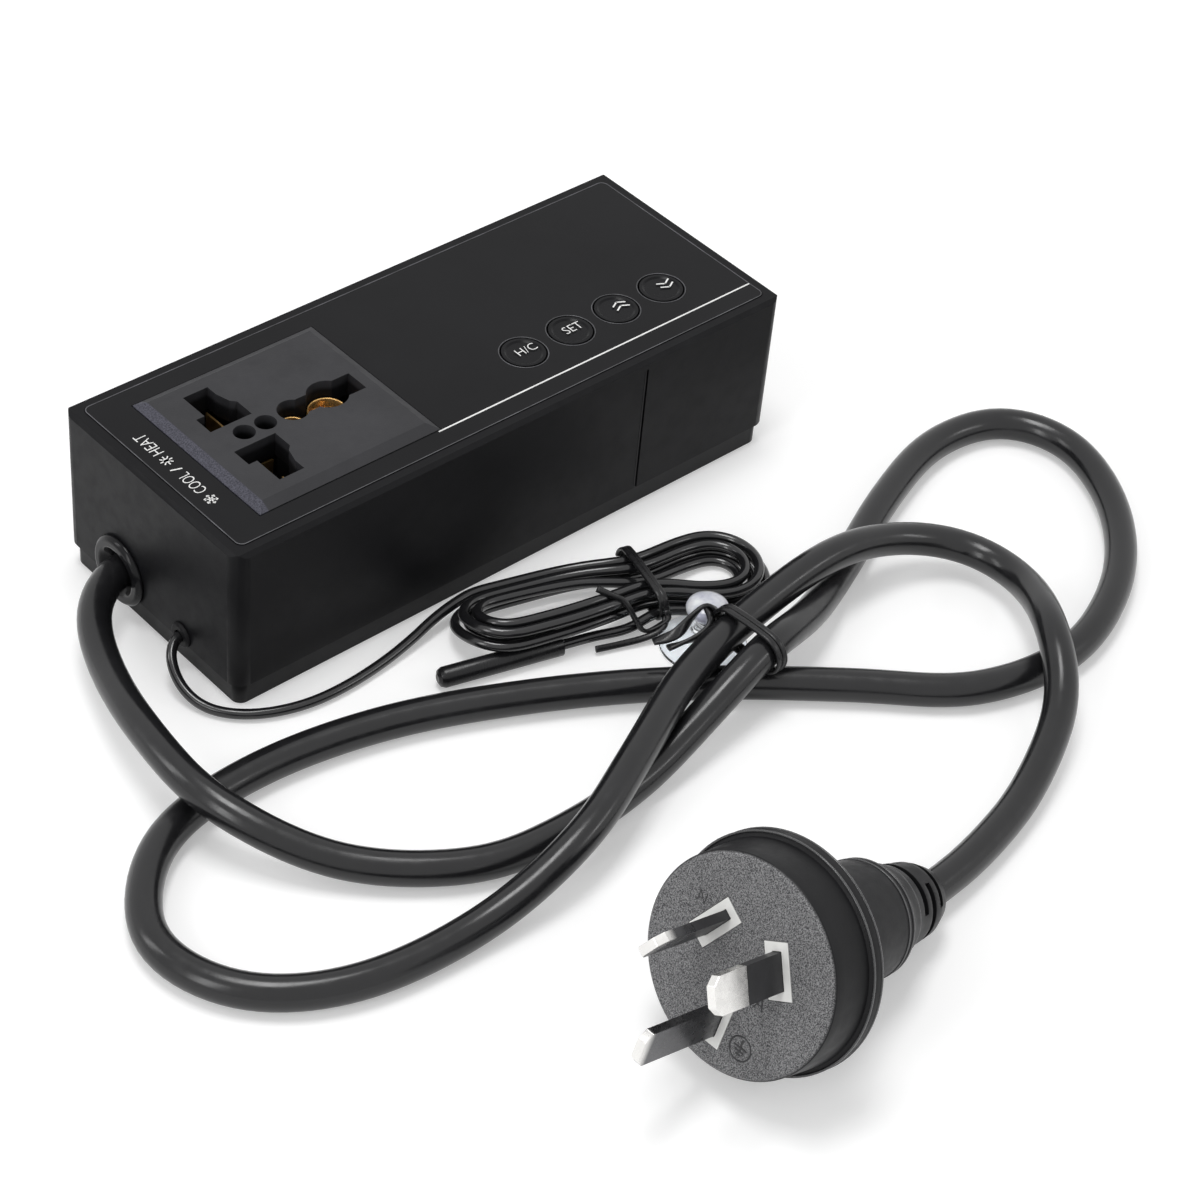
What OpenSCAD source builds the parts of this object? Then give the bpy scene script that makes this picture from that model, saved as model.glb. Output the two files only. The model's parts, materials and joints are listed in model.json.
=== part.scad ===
// Plug-in temperature controller with a universal outlet, a moulded mains plug and a probe on a lead.
// The housing stands on z = 0, its length runs along x and the cords leave its left end at -x.

/* [Housing] */
// Length of the housing
body_l = 132.5; // [120:0.5:170]
// Width of the housing
body_w = 53; // [50:0.5:70]
// Height of the housing without the outlet plate
body_h = 36; // [36:0.5:46]
// Wall of both housing halves
wall = 2; // [1.6:0.1:2.4]
// Radius of the upright corners
corner_r = 3; // [2.6:0.2:5]
// Chamfer round the top face
top_chamfer = 0.8; // [0.4:0.1:1.2]
// Height of the bottom cover below the seam
base_h = 5; // [4.6:0.2:6]
// Step from the shell's side in to the bottom cover's side
base_inset = 1; // [0.6:0.1:1.4]
// Distance of the case screws from the shell's sides
screw_inset = 5.8; // [5.6:0.1:6.2]
// Distance of the moulded line on the front side from the right end
line_from_end = 36; // [20:1:60]

/* [Overlay and keys] */
// Thickness of the printed overlay film
overlay_t = 0.5; // [0.4:0.1:0.8]
// Margin between the shell's side and the overlay
overlay_margin = 2.6; // [2:0.1:4]
// Distance between two keys
key_pitch = 11.8; // [11.6:0.2:13]
// Diameter of a key
key_d = 8.6; // [7.6:0.2:9]
// Distance of the key row from the front side
key_from_front = 16; // [14:0.5:20]
// Distance of the last key from the right end
key_from_end = 18; // [16:0.5:24]
// Travel of a key
key_travel = 0.4; // [0.2:0.05:0.5]

/* [Outlet] */
// Length of the outlet plate along the housing
plate_l = 41; // [40:0.5:44]
// Width of the outlet plate across the housing
plate_w = 38.4; // [38:0.2:44]
// Height of the plate above the housing
plate_h = 1.3; // [1:0.1:2]
// Bevel round the plate
plate_bevel = 2; // [1:0.1:2.4]
// Distance of the plate's centre from the left end
plate_from_end = 31; // [30:0.5:36]
// Distance between the line of the two current pins and the earth pin of a three pin plug
earth_spacing = 22.2; // [21.6:0.1:22.6]
// Width of the cross bar of a current aperture
bar_l = 9.2; // [8.8:0.1:9.6]
// Width of the stem of a current aperture
stem_l = 5.5; // [5:0.1:6]
// Distance from the centre line to the near edge of a current aperture
slot_near = 3.5; // [3.3:0.1:3.8]
// Distance from the centre line to the shoulder between bar and stem
slot_shoulder = 7.9; // [7.7:0.1:8.2]
// Distance from the centre line to the far edge of a current aperture
slot_far = 14.5; // [14.2:0.1:14.8]
// Diameter of the two round earth holes
pin_hole_d = 4.2; // [4:0.1:4.4]
// Thickness of the brass contacts
brass_t = 0.5; // [0.4:0.1:0.6]

/* [Mains cord and plug] */
// Diameter of the mains cord
mains_d = 6.4; // [6:0.1:6.6]
// Diameter of the ring of the cord's grommet
grommet_d = 14.4; // [13.6:0.2:15]
// Radius of the plug's face
face_r = 18.9; // [18:0.1:19]
// Radius of the plug's lip
lip_r = 20.3; // [20:0.1:21]
// Depth of the plug's head behind its face
head_t = 11; // [10:0.5:12]
// Length of the plug from its face to its tail
plug_l = 52; // [50:0.5:54]
// Width of a plug blade
blade_w = 6.35; // [6.2:0.05:6.5]
// Thickness of a plug blade
blade_t = 1.63; // [1.5:0.01:1.8]
// Length of the active and neutral blades
blade_l = 17.1; // [16.5:0.1:18]
// Length of the earth blade
earth_blade_l = 19.9; // [19:0.1:21]

/* [Sensor] */
// Diameter of the sensor lead
lead_d = 2; // [1.8:0.1:2.1]
// Diameter of the probe
probe_d = 4; // [3.6:0.1:4.2]
// Length of the probe
probe_l = 25; // [22:0.5:26]
// Radius of the suction cup
cup_r = 8.4; // [7:0.2:8.6]

/* [Hidden] */
$fn = 48;

// Clearance between pieces that fit together, and the overrun of every cut
fit = 0.2;
over = 1;

// Housing
inner_l = body_l - 2 * wall;
inner_w = body_w - 2 * wall;
roof_z = body_h - wall;
base_l = body_l - 2 * base_inset;
base_w = body_w - 2 * base_inset;
floor_t = 2;
tongue_h = 3;
tongue_t = 1.2;
inner_r = 1.6;
line_w = 0.5;
line_depth = 0.3;
screw_x = body_l / 2 - screw_inset;
screw_y = body_w / 2 - screw_inset;
boss_r = 3.1;
pilot_r = 1.5;
pilot_depth = 20;
screw_r = 1.3;
screw_l = 14;
head_r = 2.7;
head_h = 1.8;
counterbore_r = 3;
counterbore_depth = 2.6;

// Overlay, keys and display
recess_depth = 0.4;
overlay_l = body_l - 2 * overlay_margin;
overlay_w = body_w - 2 * overlay_margin;
overlay_r = 1.5;
overlay_z = body_h - recess_depth;
overlay_top = overlay_z + overlay_t;
key_count = 4;
key_y = key_from_front - body_w / 2;
key_x = body_l / 2 - key_from_end - (key_count - 1) * key_pitch;
key_gap = 0.3;
key_proud = 0.1;
key_dish = 0.25;
key_flange_r = 5.2;
key_flange_t = 1.2;
key_stem_r = 1.6;
plunger_r = 1.7;
plunger_h = 1.2;
plunger_proud = 0.5;
switch_w = 6;
switch_h = 3.5;
switch_gap = 0.25;
board_t = 1.2;
key_stem_l = 1;
window_l = 31;
window_w = 15;
window_flange = 1.6;
window_flange_t = 0.8;
display_share = 0.38;
display_y = display_share * body_w / 2;
display_x = key_x + (key_count - 1) * key_pitch / 2;
digit_count = 3;
digit_l = 7.4;
digit_w = 10.4;
digit_depth = 0.3;
board_top = roof_z - key_gap - key_flange_t - key_stem_l - plunger_proud - switch_h;
board_l = 55;
board_margin = 2.5;
board_w = inner_w - 2 * board_margin;
board_shift = 2.8;
board_x = display_x - board_shift;
post_r = 2.8;
post_inset = 3.5;

// Outlet
plate_x = plate_from_end - body_l / 2;
plate_top = body_h + plate_h;
plate_lip = 1.5;
plate_skirt_l = plate_l - 2 * plate_lip;
plate_skirt_w = plate_w - 2 * plate_lip;
plate_depth = 5;
pins_from_middle = 9.9;
pins_x = plate_x - pins_from_middle;
earth_x = pins_x + earth_spacing;
earth_pin_l = 8.1;
earth_slot_w = 5.3;
ring_from_earth = 2.9;
earth_ring_x = earth_x - ring_from_earth;
earth_ring_r = 4;
ring_pitch = 8;
small_ring_x = earth_ring_x - ring_pitch;
small_ring_r = 3;
neck_w = 4.3;
inline_shift = 0.3;
hole_pitch = 4.8;
inline_hole_x = pins_x + inline_shift;
offset_hole_x = inline_hole_x + hole_pitch;
slant_l = 2;
slant_y = 4;
pocket_gap = 0.6;
near_leaf_y = slot_near - pocket_gap + fit;
housing_step = 0.5;
housing_l = plate_skirt_l - 2 * housing_step;
housing_w = plate_skirt_w - 2 * housing_step;
housing_h = 19.5;
housing_top = plate_top - plate_depth;
housing_z = housing_top - housing_h;
housing_floor = 2;
contact_h = 16.5;
contact_gap = 4.4;
leaf_near = 8.7;
leaf_far = 14.4;
near_leaf_l = 8.4;
earth_leaf_gap = 6.4;
ridge_r = 0.8;
ridge_drop = 4;
earth_wide = 7;
earth_narrow = 4.4;
plate_screw_inset = 3.4;
plate_screw_x = plate_skirt_l / 2 - plate_screw_inset;
plate_screw_y = plate_skirt_w / 2 - plate_screw_inset;
plate_screw_r = 1.2;

// Boards in the bottom
power_l = 58;
power_margin = 3.5;
power_w = inner_w - 2 * power_margin;
power_from_end = 42;
power_x = body_l / 2 - power_from_end;
power_z = 8.4;
power_t = 1.6;
space_h = board_top - board_t - power_z - power_t;
relay_gap = 1.1;
relay_size = [19, 15.4, space_h - relay_gap];
relay_shares = [-0.31, 0.24];
relay_edge = 0.6;
core_gap = 1.3;
core_size = [22, 18, space_h - core_gap];
core_shares = [0.1, 0.21];
coil_step = 2;
coil_l = 13;
coil_w = 24;
coil_size = [coil_l, coil_w, core_size[2] - 2 * coil_step];
cap_r = 4;
cap_gap = 4.3;
cap_h = space_h - cap_gap;
// Place along and across the board, then radius and height, each as a share
cap_shares = [[0.41, -0.24, 1, 1], [0.23, -0.31, 0.78, 0.92], [0.41, 0.1, 0.62, 0.75]];
block_gap = 7.3;
block_size = [10, 20, space_h - block_gap];
block_shares = [-0.345, -0.26];
block_poles = 4;
block_screw_r = 1.6;
block_screw_depth = 2;

// Mains cord, its grommet, its clamp and its tie
mains_r = mains_d / 2;
gland_y = 9;
gland_z = 9.2;
neck_r = 5.2;
flange_t = 1.4;
inner_flange_r = 6.4;
flare_r = 5;
flare_l = 2.4;
cord_fit = 0.15;
clamp_from_end = 7;
clamp_x = clamp_from_end - body_l / 2;
clamp_l = 5;
clamp_w = 16;
clamp_h = 4.6;
clamp_split = 0.4;
clamp_screw_y = 5.7;
clamp_screw_l = 8;
mains_sides = 10;
mains_rings = 62;
mains_lead_in = 1.6;
mains_inner_end = [-57, 9, 9.2];
// Route of the mains cord from the grommet to the plug
mains_route = [[-68.6, 9, 9.2], [-77, 2.6, 8.4], [-83.2, -10.8, 8], [-88.3, -30.3, 10.2],
    [-88.7, -51, 9.8], [-77.3, -70.3, 4.6], [-58.6, -84.3, 3.4], [-39.9, -87.6, 3.4],
    [-21.9, -86.5, 3.8], [-6.1, -84.1, 7.3], [12, -81.3, 12.2], [30, -75.8, 7.7], [50, -66.2, 3.4],
    [70, -57.1, 3.4], [90.2, -51, 3.3], [106.9, -54.3, 3.3], [112.9, -68.2, 3.3], [105.1, -86.8, 3.3],
    [88.8, -102, 3.3], [66, -110.3, 3.3], [43.5, -106.1, 3.3], [25.6, -91.3, 3.3], [3.7, -74.1, 3.3],
    [-21.1, -59.3, 3.3], [-48.8, -47.6, 3.3], [-76.2, -43.2, 3.3], [-98.3, -47.5, 3.3],
    [-112, -63.7, 3.3], [-107.7, -81.7, 3.3], [-90.9, -92.8, 3.3], [-65.9, -95.7, 3.9],
    [-43.9, -94.7, 9.8], [-23.9, -86.6, 11.6], [-3.9, -77.3, 11.6], [17.9, -71.9, 11.7],
    [40.9, -69.9, 12.5], [58, -71.6, 8.9], [69.6, -79.2, 5.9], [70.7, -92.6, 6.3], [60.3, -108.8, 11],
    [50.3, -121, 6.8], [31, -130.7, 3.9], [12, -135.7, 3.7]];
tie_at = [12.06, -77.2, 11.9];
tie_turn = 14.5;
tie_half = 7.65;
tie_slack = 0.7;
tie_t = 0.8;
tie_w = 2.4;
tie_clear = 0.35;
tail_l = 11;
tail_t = 0.8;
tail_w = 1.6;
tail_dip = 8;
tail_turns = [156, 180];
knot_r = 1.3;

// Plug, drawn with its blades along +z and its earth blade at +x
plug_pitch = 20;
plug_yaw = 183.1;
plug_x = -52.5;
plug_y = -140.2;
plug_lift = 0.1;
plug_z = lip_r * cos(plug_pitch) + head_t * sin(plug_pitch) + plug_lift;
face_edge = 0.6;
side_r = 19.3;
lip_t = 2.4;
collar_r = 12.2;
collar_end_r = 10.2;
collar_end = 34.5;
shoulder_r = 7.8;
shoulder_end = 40.5;
relief_r = 6.8;
relief_end_r = 4.8;
slot_count = 3;
slot_pitch = 2.9;
slot_w = 1.4;
slot_depth = 2.2;
slot_arc = 130;
slot_first = 41.7;
pin_circle = 7.92;
earth_circle = 10.31;
pin_spread = 120;
pad_l = 9.6;
pad_w = 4.6;
carrier_r = 14;
carrier_t = 3.5;
carrier_z = 5;
carrier_fit = 0.1;
sleeve_l = 8.8;
sleeve_wall = 0.35;
blade_root = 4;
blade_tip = 1.4;

// Steps of each stretch of a route when its length is measured
fine_steps = 8;

// Sensor lead, hank, probe and suction cup
lead_r = lead_d / 2;
lead_y = -9.9;
lead_z = 6.8;
lead_bush_r = 2.6;
lead_neck_r = 1.9;
lead_bush_t = 0.8;
lead_sides = 8;
lead_rings = 15;
lead_inner_end = [-61, -9.9, 6.8];
// Route of the sensor lead from its bush to the hank
lead_route = [[-67.8, -9.9, 6.8], [-70.8, -12.6, 5.2], [-72, -17.5, 2.6],
    [-71, -23, 1.2], [-67.5, -28, 1.2], [-62, -31.5, 1.2], [-55, -33.6, 1.2], [-47, -34, 1.2],
    [-38, -33.2, 1.3], [-30, -32, 2], [-23, -30.8, 3.2]];
hank_at = [6.3, -46.2];
hank_turn = -15.5;
hank_run = 22.5;
hank_inner = 4.5;
hank_step = 2.5;
hank_layer = 2.65;
hank_pinch = 3.8;
hank_waist = 7;
hank_waist_l = 9;
hank_turns = 4.5;
hank_reverse = 2.125;
hank_climb = 0.125;
hank_run_rings = 6;
hank_sides = 6;
hank_z = 1.2;
hank_tie_lift = 1.8;
probe_lift = 4.4;
probe_lift_x = 9;
probe_lift_l = 17;
probe_lift_y = 11;
probe_lift_w = 16;
probe_y = -7.8;
probe_end = -14;
probe_z = probe_d / 2 + 0.1;
probe_nose = 1.2;
hank_tie_w = 2;
hank_tail_turns = [184, 212];
near_steps = 3;
near_skip = 21;
cup_at = [14, -64.3];
cup_t = 0.6;
cup_flange_share = 0.72;
cup_rise = 3.6;
cup_neck_r = 2;
cup_neck_h = 7.6;
knob_r = 4;
knob_h = 2.4;

module rounded_rect(l, w, r) {
    square([l - 2 * r, w], center = true);
    square([l, w - 2 * r], center = true);
    for (x = [-1, 1], y = [-1, 1]) translate([x * (l / 2 - r), y * (w / 2 - r)]) circle(r = r);
}

// Upright block with plain sides whose top edges are bevelled, its foot on z = 0
module bevelled_block(l, w, h, bevel_in, bevel_up) {
    intersection() {
        translate([0, w / 2, 0]) rotate([90, 0, 0]) linear_extrude(w) bevel_profile(l, h, bevel_in, bevel_up);
        translate([-l / 2, 0, 0]) rotate([90, 0, 90]) linear_extrude(l) bevel_profile(w, h, bevel_in, bevel_up);
    }
}

module bevel_profile(l, h, bevel_in, bevel_up)
    polygon([[-l / 2, 0], [l / 2, 0], [l / 2, h - bevel_up], [l / 2 - bevel_in, h],
        [bevel_in - l / 2, h], [-l / 2, h - bevel_up]]);

module at_corners(x, y) for (sx = [-1, 1], sy = [-1, 1]) translate([sx * x, sy * y, 0]) children();

module along_x() rotate([0, 90, 0]) children();

module pan_screw(shank_r, shank_l) {
    translate([0, 0, -head_h]) cylinder(r = shank_r * head_r / screw_r, h = head_h);
    cylinder(r = shank_r, h = shank_l);
}

// Housing halves
module shell_outer() {
    intersection() {
        translate([0, 0, base_h]) linear_extrude(body_h - base_h) rounded_rect(body_l, body_w, corner_r);
        bevelled_block(body_l, body_w, body_h, top_chamfer, top_chamfer);
    }
}

module shell_windows() {
    translate([plate_x, 0, roof_z - over]) linear_extrude(wall + 2 * over)
        square([plate_skirt_l + 2 * fit, plate_skirt_w + 2 * fit], center = true);
    translate([display_x, display_y, roof_z - over]) linear_extrude(wall + 2 * over)
        square([window_l + 2 * fit, window_w + 2 * fit], center = true);
    for (i = [0 : key_count - 1]) translate([key_x + i * key_pitch, key_y, roof_z - over])
        cylinder(r = key_d / 2 + key_gap, h = wall + 2 * over);
}

module end_holes() {
    translate([-body_l / 2 - over, gland_y, gland_z]) along_x() cylinder(r = neck_r + fit / 2, h = 2 * wall + 2 * over);
    translate([-body_l / 2 - over, lead_y, lead_z]) along_x() cylinder(r = lead_neck_r + fit / 2, h = 2 * wall + 2 * over);
}

module upper_shell() {
    color([0.06, 0.06, 0.065]) difference() {
        union() {
            difference() {
                shell_outer();
                translate([0, 0, base_h - over]) linear_extrude(roof_z - base_h + over)
                    rounded_rect(inner_l, inner_w, inner_r);
            }
            at_corners(screw_x, screw_y) translate([0, 0, base_h]) cylinder(r = boss_r, h = roof_z - base_h + over / 2);
            board_posts();
        }
        translate([0, 0, overlay_z]) linear_extrude(recess_depth + over)
            rounded_rect(overlay_l + fit, overlay_w + fit, overlay_r);
        shell_windows();
        end_holes();
        at_corners(screw_x, screw_y) translate([0, 0, base_h - over]) cylinder(r = pilot_r, h = pilot_depth + over);
        translate([body_l / 2 - line_from_end, -body_w / 2 - over, base_h - over])
            cube([line_w, over + line_depth, roof_z - base_h + over]);
    }
}

// Posts that hang from the roof and carry the control board
module board_posts() {
    translate([board_x, 0, board_top]) at_corners(board_l / 2 - post_inset, board_w / 2 - post_inset)
        cylinder(r = post_r, h = roof_z - board_top + over / 2);
}

module base_cover() {
    color([0.05, 0.05, 0.055]) difference() {
        union() {
            difference() {
                linear_extrude(base_h) rounded_rect(base_l, base_w, corner_r - base_inset);
                translate([0, 0, floor_t]) linear_extrude(base_h) rounded_rect(inner_l - 2 * tongue_t, inner_w - 2 * tongue_t, inner_r);
            }
            base_tongue();
            at_corners(screw_x, screw_y) cylinder(r = boss_r, h = base_h);
            translate([power_x, 0, 0]) at_corners(power_l / 2 - post_inset, power_w / 2 - post_inset)
                cylinder(r = post_r, h = power_z);
            clamp_saddle();
        }
        end_holes();
        collar_pockets();
        at_corners(screw_x, screw_y) {
            translate([0, 0, -over]) cylinder(r = counterbore_r, h = counterbore_depth + over);
            translate([0, 0, -over]) cylinder(r = pilot_r + fit, h = base_h + 2 * over);
        }
        clamp_screw_holes();
    }
}

// Upright rim that fits inside the shell, with gaps at the four screw bosses
module base_tongue() {
    translate([0, 0, base_h - over]) linear_extrude(tongue_h + over) difference() {
        rounded_rect(inner_l - 2 * fit, inner_w - 2 * fit, inner_r);
        rounded_rect(inner_l - 2 * tongue_t, inner_w - 2 * tongue_t, inner_r);
        for (x = [-1, 1], y = [-1, 1]) translate([x * screw_x, y * screw_y]) circle(r = boss_r + 2 * fit + tongue_t);
    }
}

// Room for the inner collars of the two grommets
module collar_pockets() {
    pocket_x = wall - body_l / 2;
    pocket_l = clamp_x - clamp_l / 2 - pocket_x;
    translate([pocket_x, gland_y, gland_z]) along_x() cylinder(r = inner_flange_r + fit, h = pocket_l);
    translate([pocket_x, lead_y, lead_z]) along_x() cylinder(r = lead_bush_r + fit, h = pocket_l);
}

module clamp_saddle() {
    difference() {
        translate([clamp_x - clamp_l / 2, gland_y - clamp_w / 2, 0]) cube([clamp_l, clamp_w, gland_z - clamp_split / 2]);
        translate([clamp_x - clamp_l / 2 - over, gland_y, gland_z]) along_x()
            cylinder(r = mains_r + cord_fit, h = clamp_l + 2 * over);
    }
}

module clamp_screw_holes() {
    for (y = [-1, 1]) translate([clamp_x, gland_y + y * clamp_screw_y, floor_t])
        cylinder(r = pilot_r, h = gland_z);
}

module cord_clamp() {
    color([0.12, 0.12, 0.13]) difference() {
        translate([clamp_x - clamp_l / 2, gland_y - clamp_w / 2, gland_z + clamp_split / 2])
            cube([clamp_l, clamp_w, clamp_h]);
        translate([clamp_x - clamp_l / 2 - over, gland_y, gland_z]) along_x()
            cylinder(r = mains_r + cord_fit, h = clamp_l + 2 * over);
        for (y = [-1, 1]) translate([clamp_x, gland_y + y * clamp_screw_y, gland_z - over])
            cylinder(r = pilot_r + fit, h = clamp_h + 3 * over);
    }
}

module clamp_screws() {
    color([0.75, 0.75, 0.78]) for (y = [-1, 1])
        translate([clamp_x, gland_y + y * clamp_screw_y, gland_z + clamp_split / 2 + clamp_h])
            mirror([0, 0, 1]) pan_screw(screw_r, clamp_screw_l);
}

module case_screws() {
    color([0.35, 0.35, 0.37]) at_corners(screw_x, screw_y) translate([0, 0, counterbore_depth]) pan_screw(screw_r, screw_l);
}

// Printed film on the top face
module top_overlay() {
    color([0.02, 0.02, 0.025]) translate([0, 0, overlay_z]) difference() {
        linear_extrude(overlay_t) rounded_rect(overlay_l, overlay_w, overlay_r);
        translate([plate_x, 0, -over]) linear_extrude(overlay_t + 2 * over)
            square([plate_l + 2 * fit, plate_w + 2 * fit], center = true);
        for (i = [0 : key_count - 1]) translate([key_x + i * key_pitch, key_y, -over])
            cylinder(r = key_d / 2 + key_gap, h = overlay_t + 2 * over);
    }
}

// Outlet
module current_aperture_2d(side) {
    mirror([0, side]) {
        translate([pins_x - bar_l / 2, slot_near]) square([bar_l, slot_shoulder - slot_near]);
        translate([pins_x - stem_l / 2, slot_near]) square([stem_l, slot_far - slot_near]);
        polygon([[pins_x + stem_l / 2 - fit, slot_near], [pins_x + bar_l / 2, slot_shoulder - fit],
            [pins_x + bar_l / 2, slot_shoulder], [pins_x + bar_l / 2 - slant_l / 2, slot_shoulder + slant_y / 4],
            [pins_x + stem_l / 2, slot_shoulder + slant_y], [pins_x + stem_l / 2 - fit, slot_shoulder + slant_y]]);
    }
}

module earth_aperture_2d() {
    translate([earth_ring_x, 0]) circle(r = earth_ring_r);
    translate([small_ring_x, 0]) circle(r = small_ring_r);
    translate([small_ring_x, -neck_w / 2]) square([earth_ring_x - small_ring_x, neck_w]);
    translate([earth_ring_x, -earth_slot_w / 2]) square([earth_x + earth_pin_l / 2 - earth_ring_x, earth_slot_w]);
}

module plate_screw_places()
    for (y = [-1, 1]) translate([plate_x + plate_screw_x, y * plate_screw_y, 0]) children();

module outlet_plate() {
    color([0.2, 0.2, 0.21]) difference() {
        union() {
            translate([plate_x, 0, overlay_z]) bevelled_block(plate_l, plate_w, plate_h + recess_depth, plate_bevel, plate_h - fit);
            translate([plate_x, 0, housing_top]) linear_extrude(plate_depth - plate_h / 2)
                square([plate_skirt_l, plate_skirt_w], center = true);
        }
        translate([0, 0, housing_top - over]) linear_extrude(plate_depth + 2 * over) {
            current_aperture_2d(0);
            current_aperture_2d(1);
            earth_aperture_2d();
        }
        for (x = [inline_hole_x, offset_hole_x]) translate([x, 0, housing_top - over])
            cylinder(d = pin_hole_d, h = plate_depth + 2 * over);
        plate_screw_places() translate([0, 0, housing_top - over]) cylinder(r = plate_screw_r + fit, h = over + plate_depth / 2);
    }
}

module current_pocket(side) {
    pocket_l = bar_l + 2 * pocket_gap;
    y_near = slot_near - pocket_gap;
    translate([pins_x - pocket_l / 2, side > 0 ? y_near : -slot_far - pocket_gap, housing_z + housing_floor])
        cube([pocket_l, slot_far + pocket_gap - y_near, housing_h]);
}

module outlet_housing() {
    color([0.1, 0.1, 0.11]) difference() {
        translate([plate_x - housing_l / 2, -housing_w / 2, housing_z]) cube([housing_l, housing_w, housing_h]);
        current_pocket(1);
        current_pocket(-1);
        translate([small_ring_x - small_ring_r - pocket_gap / 2, -earth_ring_r - pocket_gap, housing_z + housing_floor])
            cube([earth_x + earth_pin_l / 2 - small_ring_x + small_ring_r + pocket_gap,
                2 * earth_ring_r + 2 * pocket_gap, housing_h]);
        for (x = [inline_hole_x, offset_hole_x]) translate([x, 0, housing_z + housing_floor])
            cylinder(d = pin_hole_d, h = housing_h);
        plate_screw_places() translate([0, 0, housing_z - over]) cylinder(r = plate_screw_r + fit, h = housing_h + 2 * over);
    }
}

module outlet_screws() {
    color([0.75, 0.75, 0.78]) plate_screw_places()
        translate([0, 0, housing_z]) pan_screw(plate_screw_r, housing_h + plate_depth / 2 - fit);
}

// Two upright leaves beside the stem, one near the centre line and a web that joins them
module current_contact() {
    floor_z = housing_z + housing_floor + fit / 2;
    leaf_x = contact_gap / 2;
    translate([pins_x, 0, floor_z]) {
        for (x = [-leaf_x - brass_t, leaf_x]) {
            translate([x, leaf_near, 0]) cube([brass_t, leaf_far - leaf_near, contact_h]);
            translate([x + brass_t / 2, leaf_near, contact_h]) rotate([-90, 0, 0])
                cylinder(r = brass_t / 2, h = leaf_far - leaf_near, $fn = 24);
        }
        translate([-near_leaf_l / 2, near_leaf_y, 0]) cube([near_leaf_l, brass_t, contact_h]);
        translate([-leaf_x - brass_t, near_leaf_y, 0]) cube([contact_gap + 2 * brass_t, leaf_far - near_leaf_y, brass_t]);
    }
}

module contact_live() color([0.72, 0.5, 0.22]) current_contact();
module contact_neutral() color([0.72, 0.5, 0.22]) mirror([0, 1, 0]) current_contact();

// One leaf with a rounded ridge that presses on the pin
module earth_leaf(x, w) {
    translate([x, earth_leaf_gap / 2, housing_z + housing_floor + fit / 2]) {
        cube([w, brass_t, contact_h]);
        translate([0, 0, contact_h - ridge_drop]) rotate([0, 90, 0]) cylinder(r = ridge_r, h = w, $fn = 24);
    }
}

module contact_earth() {
    left = small_ring_x - earth_narrow / 2;
    wide_x = earth_ring_x - earth_wide / 4;
    color([0.72, 0.5, 0.22]) {
        for (side = [0, 1]) mirror([0, side, 0]) {
            earth_leaf(left, earth_narrow);
            earth_leaf(wide_x, earth_wide);
        }
        translate([left, -earth_leaf_gap / 2 - brass_t, housing_z + housing_floor + fit / 2])
            cube([wide_x + earth_wide - left, earth_leaf_gap + 2 * brass_t, brass_t]);
    }
}

// Display, keys and control board
module display_window() {
    color([0.1, 0.02, 0.02]) {
        translate([display_x, display_y, roof_z]) linear_extrude(overlay_z - roof_z - fit / 2)
            square([window_l, window_w], center = true);
        translate([display_x, display_y, roof_z - window_flange_t]) linear_extrude(window_flange_t)
            square([window_l + 2 * window_flange, window_w + 2 * window_flange], center = true);
    }
}

module display_module() {
    top = roof_z - window_flange_t - fit;
    color([0.15, 0.15, 0.15]) difference() {
        translate([display_x - window_l / 2, display_y - window_w / 2, board_top])
            cube([window_l, window_w, top - board_top]);
        for (i = [0 : digit_count - 1])
            translate([display_x + (i - (digit_count - 1) / 2) * window_l / digit_count - digit_l / 2,
                display_y - digit_w / 2, top - digit_depth]) cube([digit_l, digit_w, over]);
    }
}

module control_board() {
    color([0.05, 0.3, 0.12]) translate([board_x - board_l / 2, -board_w / 2, board_top - board_t])
        cube([board_l, board_w, board_t]);
}

module tact_switches() {
    color([0.1, 0.1, 0.1]) for (i = [0 : key_count - 1]) translate([key_x + i * key_pitch, key_y, board_top]) difference() {
        translate([-switch_w / 2, -switch_w / 2, 0]) cube([switch_w, switch_w, switch_h]);
        translate([0, 0, switch_h + plunger_proud - plunger_h - key_travel - fit]) cylinder(r = plunger_r + switch_gap, h = switch_h);
    }
}

module key(i) {
    cap_z = roof_z - key_gap;
    translate([key_x + i * key_pitch, key_y, 0]) color([0.03, 0.03, 0.035]) difference() {
        union() {
            translate([0, 0, cap_z - over / 2]) cylinder(d = key_d, h = overlay_top + key_proud - cap_z + over / 2);
            translate([0, 0, cap_z - key_flange_t]) cylinder(r = key_flange_r, h = key_flange_t);
            translate([0, 0, cap_z - key_flange_t - key_stem_l]) cylinder(r = key_stem_r, h = key_stem_l + over / 2);
        }
        translate([0, 0, overlay_top + key_proud - key_dish]) cylinder(r1 = key_d / 2 - 4 * key_dish, r2 = key_d / 2 - 2 * key_dish, h = key_dish + fit / 4);
    }
}

module key_mode() key(0);
module key_set() key(1);
module key_up() key(2);
module key_down() key(3);

module plunger(i) {
    color([0.5, 0.1, 0.08]) translate([key_x + i * key_pitch, key_y, board_top + switch_h + plunger_proud - plunger_h])
        cylinder(r = plunger_r, h = plunger_h);
}

module plunger_mode() plunger(0);
module plunger_set() plunger(1);
module plunger_up() plunger(2);
module plunger_down() plunger(3);

// Power board and its parts
module power_board() {
    color([0.55, 0.42, 0.2]) translate([power_x - power_l / 2, -power_w / 2, power_z]) cube([power_l, power_w, power_t]);
}

module on_power_board(shares)
    translate([power_x + shares[0] * power_l, shares[1] * power_w, power_z + power_t]) children();

module relay() {
    color([0.1, 0.25, 0.6]) on_power_board(relay_shares)
        bevelled_block(relay_size[0], relay_size[1], relay_size[2], relay_edge, relay_edge);
}

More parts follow.
